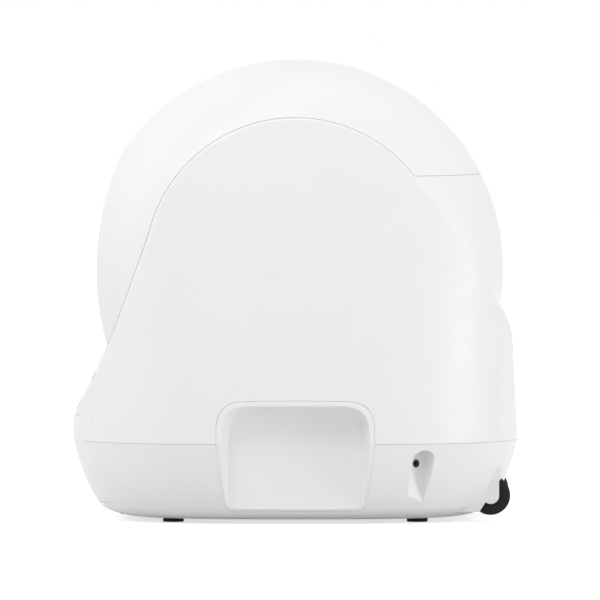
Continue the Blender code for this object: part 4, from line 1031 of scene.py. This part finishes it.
def make_base():
    turn = plan_columns()
    top = SEAM - SEAM_GAP / 2
    low = BASE_BOTTOM + BASE_EDGE_HEIGHT * (1 - np.cos(np.linspace(0, math.pi / 2, 26)))
    heights = np.r_[low, np.linspace(BASE_BOTTOM + BASE_EDGE_HEIGHT, top - TINY_EDGE, 40)[1:]]
    foot = plan_ring(turn, BASE_BOTTOM)
    rings = [foot * (share, share, 1) for share in (0.05, 0.3, 0.55, 0.75, 0.9, 0.97)]
    rings += [plan_ring(turn, z) for z in heights]
    rings += [plan_ring(turn, top - far, depth) for far, depth in quarter(TINY_EDGE, 4)[1:]]
    mesh = skin(rings)

    coarse = np.linspace(0, 2 * math.pi, 160, endpoint=False) + 0.01
    inner_floor = BASE_BOTTOM + WALL
    rise = INNER_ROUND * (1 - np.cos(np.linspace(0, math.pi / 2, 8)))
    heights = np.r_[inner_floor + rise, np.linspace(INNER_WALL_FOOT, SEAM, 6)]
    rings = [plan_ring(coarse, inner_floor, WALL) * (0.3, 0.3, 1)]
    rings += [plan_ring(coarse, z, WALL) for z in heights]
    rings.append(rings[-1] + (0, 0, PAST_SKIN))
    jack_low = (ramp_x(SCOOP_DEEP) - 2 * WALL, RAMP_START - WALL, 0.0)
    jack_block = box_mesh(jack_low, (HALF_WIDTH, SCOOP_REAR + WALL, SEAM - WALL))
    blocks = [well(sign, WELL_WALL) for _, sign in SIDES] + [jack_block]
    mesh = without(mesh, [without(skin(rings), blocks)])
    opening = DRAWER_HALF_WIDTH + DRAWER_GAP
    drawer_low = (-opening, -FAR, DRAWER_BOTTOM - DRAWER_GAP)
    cutters = [box_mesh(drawer_low, (opening, DRAWER_BACK, DRAWER_OPEN_TOP))]
    pocket = grip_lines(GRIP_DRAFT, GRIP_GAP, GRIP_BOTTOM - GRIP_GAP)
    for _, sign in SIDES:
        rings = np.array([pocket(GRIP_BACK - 2 * FIT), pocket(HALF_WIDTH), pocket(FAR)])
        cutters += [skin(rings * (sign, 1, 1)), well(sign, 0.0)]
    cutters.append(scoop_form())
    mesh = without(mesh, cutters)
    aim = Vector((0, 0, 1)).rotation_difference(JACK_AXIS).to_matrix().to_4x4()
    bore = extruded(circle((0, 0), JACK_RADIUS + FIT), Matrix.Translation(JACK_PLACE) @ aim, *JACK_HOLE)
    moulding("base_moulding", without(mesh, [bore]), "base_tray")


def make_rails_and_lugs():
    rail_low, rail_high = BASE_BOTTOM + WALL - FIT, DRAWER_BOTTOM + 2 * DRAWER_GAP
    tip = arc((WHEEL_MIDDLE.y, WHEEL_MIDDLE.z), LUG_RADIUS, -180, 0, 40)
    lug = np.r_[tip, [(tip[-1, 0], LUG_TOP), (tip[0, 0], LUG_TOP)]]
    half = WHEEL_HALF_WIDTH + WELL_GAP
    forms = (("inner", lug, -half - LUG_WALL, -half), ("outer", lug, half, half + LUG_WALL),
             ("fender", FENDER, half - FIT, half + FENDER_WALL))
    for side, sign in SIDES:
        middle = sign * RAIL_ACROSS
        rail = box_mesh((middle - RAIL_HALF_WIDTH, DRAWER_BACK + WALL, rail_low),
                        (middle + RAIL_HALF_WIDTH, BIN_REAR, rail_high), SMALL_EDGE)
        moulding(f"drawer_rail_{side}", rail)
        for place, outline, low, high in forms:
            ends = sorted((sign * (WHEEL_MIDDLE.x + low), sign * (WHEEL_MIDDLE.x + high)))
            mesh = extruded(outline, ALONG_X, *ends, SMALL_EDGE)
            if place == "fender":
                for vertex in mesh.vertices:
                    if abs(vertex.co.x) > abs(WHEEL_MIDDLE.x) + half + FIT:
                        vertex.co.x -= sign * FENDER_SLOPE * (vertex.co.y - FENDER[1, 0])
            moulding(f"wheel_{place}_{side}", mesh)


def make_jack():
    corners = [(0.0, JACK_BORE), (0.0, JACK_RADIUS), (-JACK_LENGTH, JACK_RADIUS)]
    outer = soft_profile(corners, JACK_EDGE, 4, closed=False)
    bore = [(-JACK_BORE_DEPTH, CORE), (-JACK_BORE_DEPTH, JACK_BORE)]
    profile = np.r_[bore, outer, [(-JACK_LENGTH, CORE)]]
    mesh = turned(profile, JACK_AXIS, JACK_PLACE, 64, closed=False)
    piece("supply_socket", mesh, "housing", "dark_plastic", "dc_jack")


# Hand grips

def make_grip(side, sign):
    wall = grip_lines(GRIP_DRAFT, 0.0, GRIP_BOTTOM)
    hollow = grip_lines(GRIP_HOLLOW_DRAFT, -GRIP_LIP, GRIP_BOTTOM + GRIP_SILL)
    rim, lip, foot, back = grip_rim(wall), grip_rim(hollow), hollow(GRIP_FLOOR), wall(GRIP_BACK)

    def on_floor(points):
        limit = side_x(points[:, 1], points[:, 2]) - 2 * TINY_EDGE
        return np.c_[soft_min(GRIP_FLOOR, limit, GRIP_FLOOR_BEND), points[:, 1:]]

    foot = on_floor(foot)
    back[:, 0] = np.minimum(back[:, 0], rim[:, 0] - 4 * TINY_EDGE)
    middle = np.array((0.0, 0.0, (GRIP_BOTTOM + GRIP_TOP) / 2))
    back_middle, floor_middle = middle + (GRIP_BACK, 0, 0), middle + (GRIP_FLOOR, 0, 0)
    rows = [back_middle + (back - back_middle) * share for share in (0.02, 0.5, 0.97)]
    rows += [*rounded(back, rim, lip, TINY_EDGE, 3)]
    width, drop = np.linalg.norm(lip - rim, axis=1), np.linalg.norm(foot - lip, axis=1)
    edge = np.minimum(GRIP_LIP_EDGE, 0.4 * np.minimum(width, drop))
    for share in shares(8)[1:-1]:
        flat = rim + (lip - rim) * (share * (1 - 1.2 * edge / width))[:, None]
        flat[:, 0] = side_x(flat[:, 1], flat[:, 2])
        rows.append(flat)
    rows += [*rounded(rim, lip, foot, edge, 8)]
    fillet = np.minimum(GRIP_FILLET, 0.55 * drop)
    bend = rounded(lip, foot, floor_middle, fillet, 12)
    rows += [rows[-1] + (bend[0] - rows[-1]) * share for share in shares(10)[1:-1]]
    rows += [*bend]
    floor = [floor_middle + (bend[-1] - floor_middle) * share for share in np.linspace(1, 0.02, 40)[1:]]
    rows += [on_floor(points) for points in floor]
    rings = np.array(rows) * (sign, 1, 1)
    moulding(f"grip_insert_{side}", skin(rings), f"hand_grip_{side}")


# Running gear and feet

def make_wheels():
    half = WHEEL_HALF_WIDTH
    low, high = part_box("wheel_hub_right")
    hub_radius = (high.z - low.z) / 2
    hub_half = (high.x - low.x) / 2
    axle_low, axle_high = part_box("wheel_axle_right")
    bore = (axle_high.z - axle_low.z) / 2 + FIT
    seat, cheek = hub_radius + FIT, half - FIT / 2
    tyre = [(-cheek, TYRE_CHEEK), (-half, TYRE_CHEEK), (-half, WHEEL_RADIUS)]
    tyre += [(-x, r) for x, r in tyre[::-1]] + [(cheek, seat), (-cheek, seat)]
    tyre = soft_profile(tyre, TYRE_EDGE, 8)
    dish, rim = hub_half / 2, (hub_radius + HUB_BOSS) / 2
    hub = [(-hub_half, bore), (-hub_half, HUB_BOSS), (-dish, HUB_BOSS)]
    hub += [(-dish, rim), (-hub_half, rim), (-hub_half, hub_radius)]
    hub += [(-x, r) for x, r in hub[::-1]]
    hub = soft_profile(hub, HUB_EDGE, 4)
    for side, sign in SIDES:
        middle = Vector((sign * WHEEL_MIDDLE.x, WHEEL_MIDDLE.y, WHEEL_MIDDLE.z))
        mesh = turned(tyre, (1, 0, 0), middle, 128)
        piece(f"tyre_{side}", mesh, f"wheel_{side}", "wheel_tyre", f"wheel_tyre_{side}")
        mesh = turned(hub, (1, 0, 0), middle, 96)
        piece(f"hub_{side}", mesh, f"wheel_{side}", "grey_plastic", f"wheel_hub_{side}")


def make_feet():
    for corner in CORNERS:
        low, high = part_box(f"foot_{corner}")
        radius = (high.x - low.x) / 2
        middle = Vector(((low.x + high.x) / 2, (low.y + high.y) / 2, 0))
        profile = [(0, CORE), (0, radius), (high.z, radius), (high.z, CORE)]
        profile = soft_profile(profile, FOOT_EDGE, 6, closed=False)
        mesh = turned(profile, (0, 0, 1), middle, 64, closed=False)
        piece(f"pad_{corner}", mesh, "housing", "black_rubber", f"foot_{corner}")


# Drum

def drum_profile(inset):
    swell = DRUM_RADIUS - MOUTH_RADIUS
    front = -DRUM_HALF_LENGTH - (MOUTH_ALONG + MOUTH_LIP)
    rear = DRUM_REAR - DRUM_HALF_LENGTH - inset
    turn = np.linspace(0, math.pi / 2, 24)
    radius = MOUTH_RADIUS + swell * np.cos(turn) - inset
    nose = np.c_[-DRUM_HALF_LENGTH - front * np.sin(turn), radius][::-1]
    middle = np.linspace(-DRUM_HALF_LENGTH, DRUM_HALF_LENGTH, 12)[1:-1]
    barrel = np.c_[middle, np.full(len(middle), radius[0])]
    tail = np.c_[DRUM_HALF_LENGTH + rear * np.sin(turn), radius]
    return np.r_[[(MOUTH_ALONG, MOUTH_RADIUS - inset)], nose, barrel, tail]


def make_drum():
    centre = (0, 0, DRUM_HEIGHT)
    along = (0, 1, 0)
    outer, inner = drum_profile(0.0), drum_profile(DRUM_WALL)
    profile = np.r_[[(inner[-1, 0], DRUM_CORE)], inner[::-1], outer, [(outer[-1, 0], DRUM_CORE)]]
    mesh = turned(profile, along, centre, 160, closed=False)
    port = box_mesh((-PORT_HALF_WIDTH, PORT_FRONT, DRUM_HEIGHT), (PORT_HALF_WIDTH, PORT_REAR, PORT_TOP))
    piece("drum_body", without(mesh, [port]), "drum", "grey_plastic", "drum_shell")

    lip, rim = MOUTH_RADIUS + FIT, MOUTH_RADIUS + FIT + MOUTH_TRIM_WALL
    front, opening = MOUTH_ALONG - FIT, MOUTH_RADIUS - DRUM_WALL
    corners = [(MOUTH_ALONG + MOUTH_LIP, lip), (MOUTH_ALONG + MOUTH_LIP, rim), (front - DRUM_WALL, rim)]
    corners += [(front - DRUM_WALL, opening), (front, opening), (front, lip)]
    mesh = turned(soft_profile(corners, MOUTH_EDGE, 5), along, centre, 160)
    piece("mouth_ring", mesh, "drum", "grey_liner", "drum_mouth_trim")

    flat = (DRUM_RADIUS - DRUM_WALL) * math.cos(math.pi / DRUM_SIDES) - FIT
    ends = (-90 - LINER_HALF_ANGLE, -90 + LINER_HALF_ANGLE)
    inner = arc(centre[1:], flat - LINER_WALL, *ends[::-1], 120)
    outline = np.r_[arc(centre[1:], flat, *ends, 120), inner]
    outline = np.c_[outline[:, 1], outline[:, 0]][::-1]
    mesh = extruded(outline, ALONG_Y, -LINER_HALF_LENGTH, LINER_HALF_LENGTH, LINER_EDGE)
    piece("litter_liner", mesh, "drum", "grey_liner", "drum_liner")


def make_rollers():
    for corner in CORNERS:
        low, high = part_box(f"support_roller_{corner}")
        half, radius = (high.y - low.y) / 2, (high.z - low.z) / 2
        profile = [(-half, ROLLER_BORE), (-half, radius), (half, radius), (half, ROLLER_BORE)]
        mesh = turned(soft_profile(profile, ROLLER_EDGE, 4), (0, 1, 0), (low + high) / 2, 64)
        piece(f"roller_{corner}", mesh, f"roller_{corner}", "black_rubber", f"support_roller_{corner}")


# Studio

def seen_directly(tree):
    """1 for rays from the camera, mirrors and glass, and 0 for light that scatters on."""
    path = node(tree, "ShaderNodeLightPath")
    seen = path.outputs["Is Camera Ray"]
    for kind in ("Is Glossy Ray", "Is Transmission Ray"):
        seen = node(tree, "ShaderNodeMath", {0: seen, 1: path.outputs[kind]}, operation="MAXIMUM").outputs[0]
    return seen


def make_floor():
    shape = bmesh.new()
    bmesh.ops.create_grid(shape, x_segments=1, y_segments=1, size=FLOOR_HALF_SIZE)
    mesh = bpy.data.meshes.new("floor")
    shape.to_mesh(mesh)
    shape.free()
    material, tree, shader = new_material("floor_paper")
    preset(shader, {"Roughness": FLOOR_ROUGHNESS, "Base Color": (FLOOR_TONE, FLOOR_TONE, FLOOR_TONE, 1)})
    dark, glow = [node(tree, "ShaderNodeEmission", {"Strength": s}).outputs[0] for s in (0.0, FLOOR_GLOW)]
    lit = node(tree, "ShaderNodeMixShader", {0: seen_directly(tree), 1: dark, 2: glow})
    total = node(tree, "ShaderNodeAddShader", {0: shader.outputs[0], 1: lit.outputs[0]})
    preset(tree.nodes["Material Output"], {"Surface": total.outputs[0]})
    mesh.materials.append(material)
    placed("floor", mesh)


def make_world():
    world = bpy.data.worlds.new("studio")
    bpy.context.scene.world = world
    world.use_nodes = True
    tree = world.node_tree
    levels = {"Value": seen_directly(tree), "To Min": WORLD_LIGHT, "To Max": 1.0}
    strength = node(tree, "ShaderNodeMapRange", levels).outputs["Result"]
    preset(tree.nodes["Background"], {"Color": (1, 1, 1, 1), "Strength": strength})


def make_lamp(name, place, size, power):
    light = bpy.data.lights.new(name, "AREA")
    light.shape = "DISK"
    light.size = size
    light.energy = power
    lamp = placed(name, light)
    lamp.location = place
    lamp.rotation_euler = (LAMP_AIM - Vector(place)).to_track_quat("-Z", "Y").to_euler()


def make_camera():
    camera = bpy.data.cameras.new("camera")
    camera.sensor_width = SENSOR_WIDTH
    camera.lens = SENSOR_WIDTH * CAMERA_DISTANCE / FRAME_WIDTH
    camera.clip_end = CAMERA_FAR
    obj = placed("camera", camera)
    rise = math.radians(CAMERA_ELEVATION)
    back = Vector((math.cos(rise), 0, math.sin(rise)))
    obj.location = AIM + back * CAMERA_DISTANCE
    obj.rotation_euler = (-back).to_track_quat("-Z", "Y").to_euler()
    bpy.context.scene.camera = obj


bpy.context.scene.view_settings.view_transform = "Standard"
for row in frame["record"]["subparts"]:
    mesh = frame["nodes"][row["node"]].data
    mesh.materials.clear()
    mesh.materials.append(FINISHES[row["material_slot"]])

for side, sign in SIDES:
    make_cover(side, sign)
    make_grip(side, sign)
make_hood()
make_rear_shell()
make_front()
moulding("rear_moulding", end_panel(1), "rear_panel")
make_drawer_front()
make_base()
make_rails_and_lugs()
make_jack()
make_wheels()
make_feet()
make_drum()
make_rollers()
make_floor()
make_world()
for lamp in LAMPS:
    make_lamp(*lamp)
make_camera()
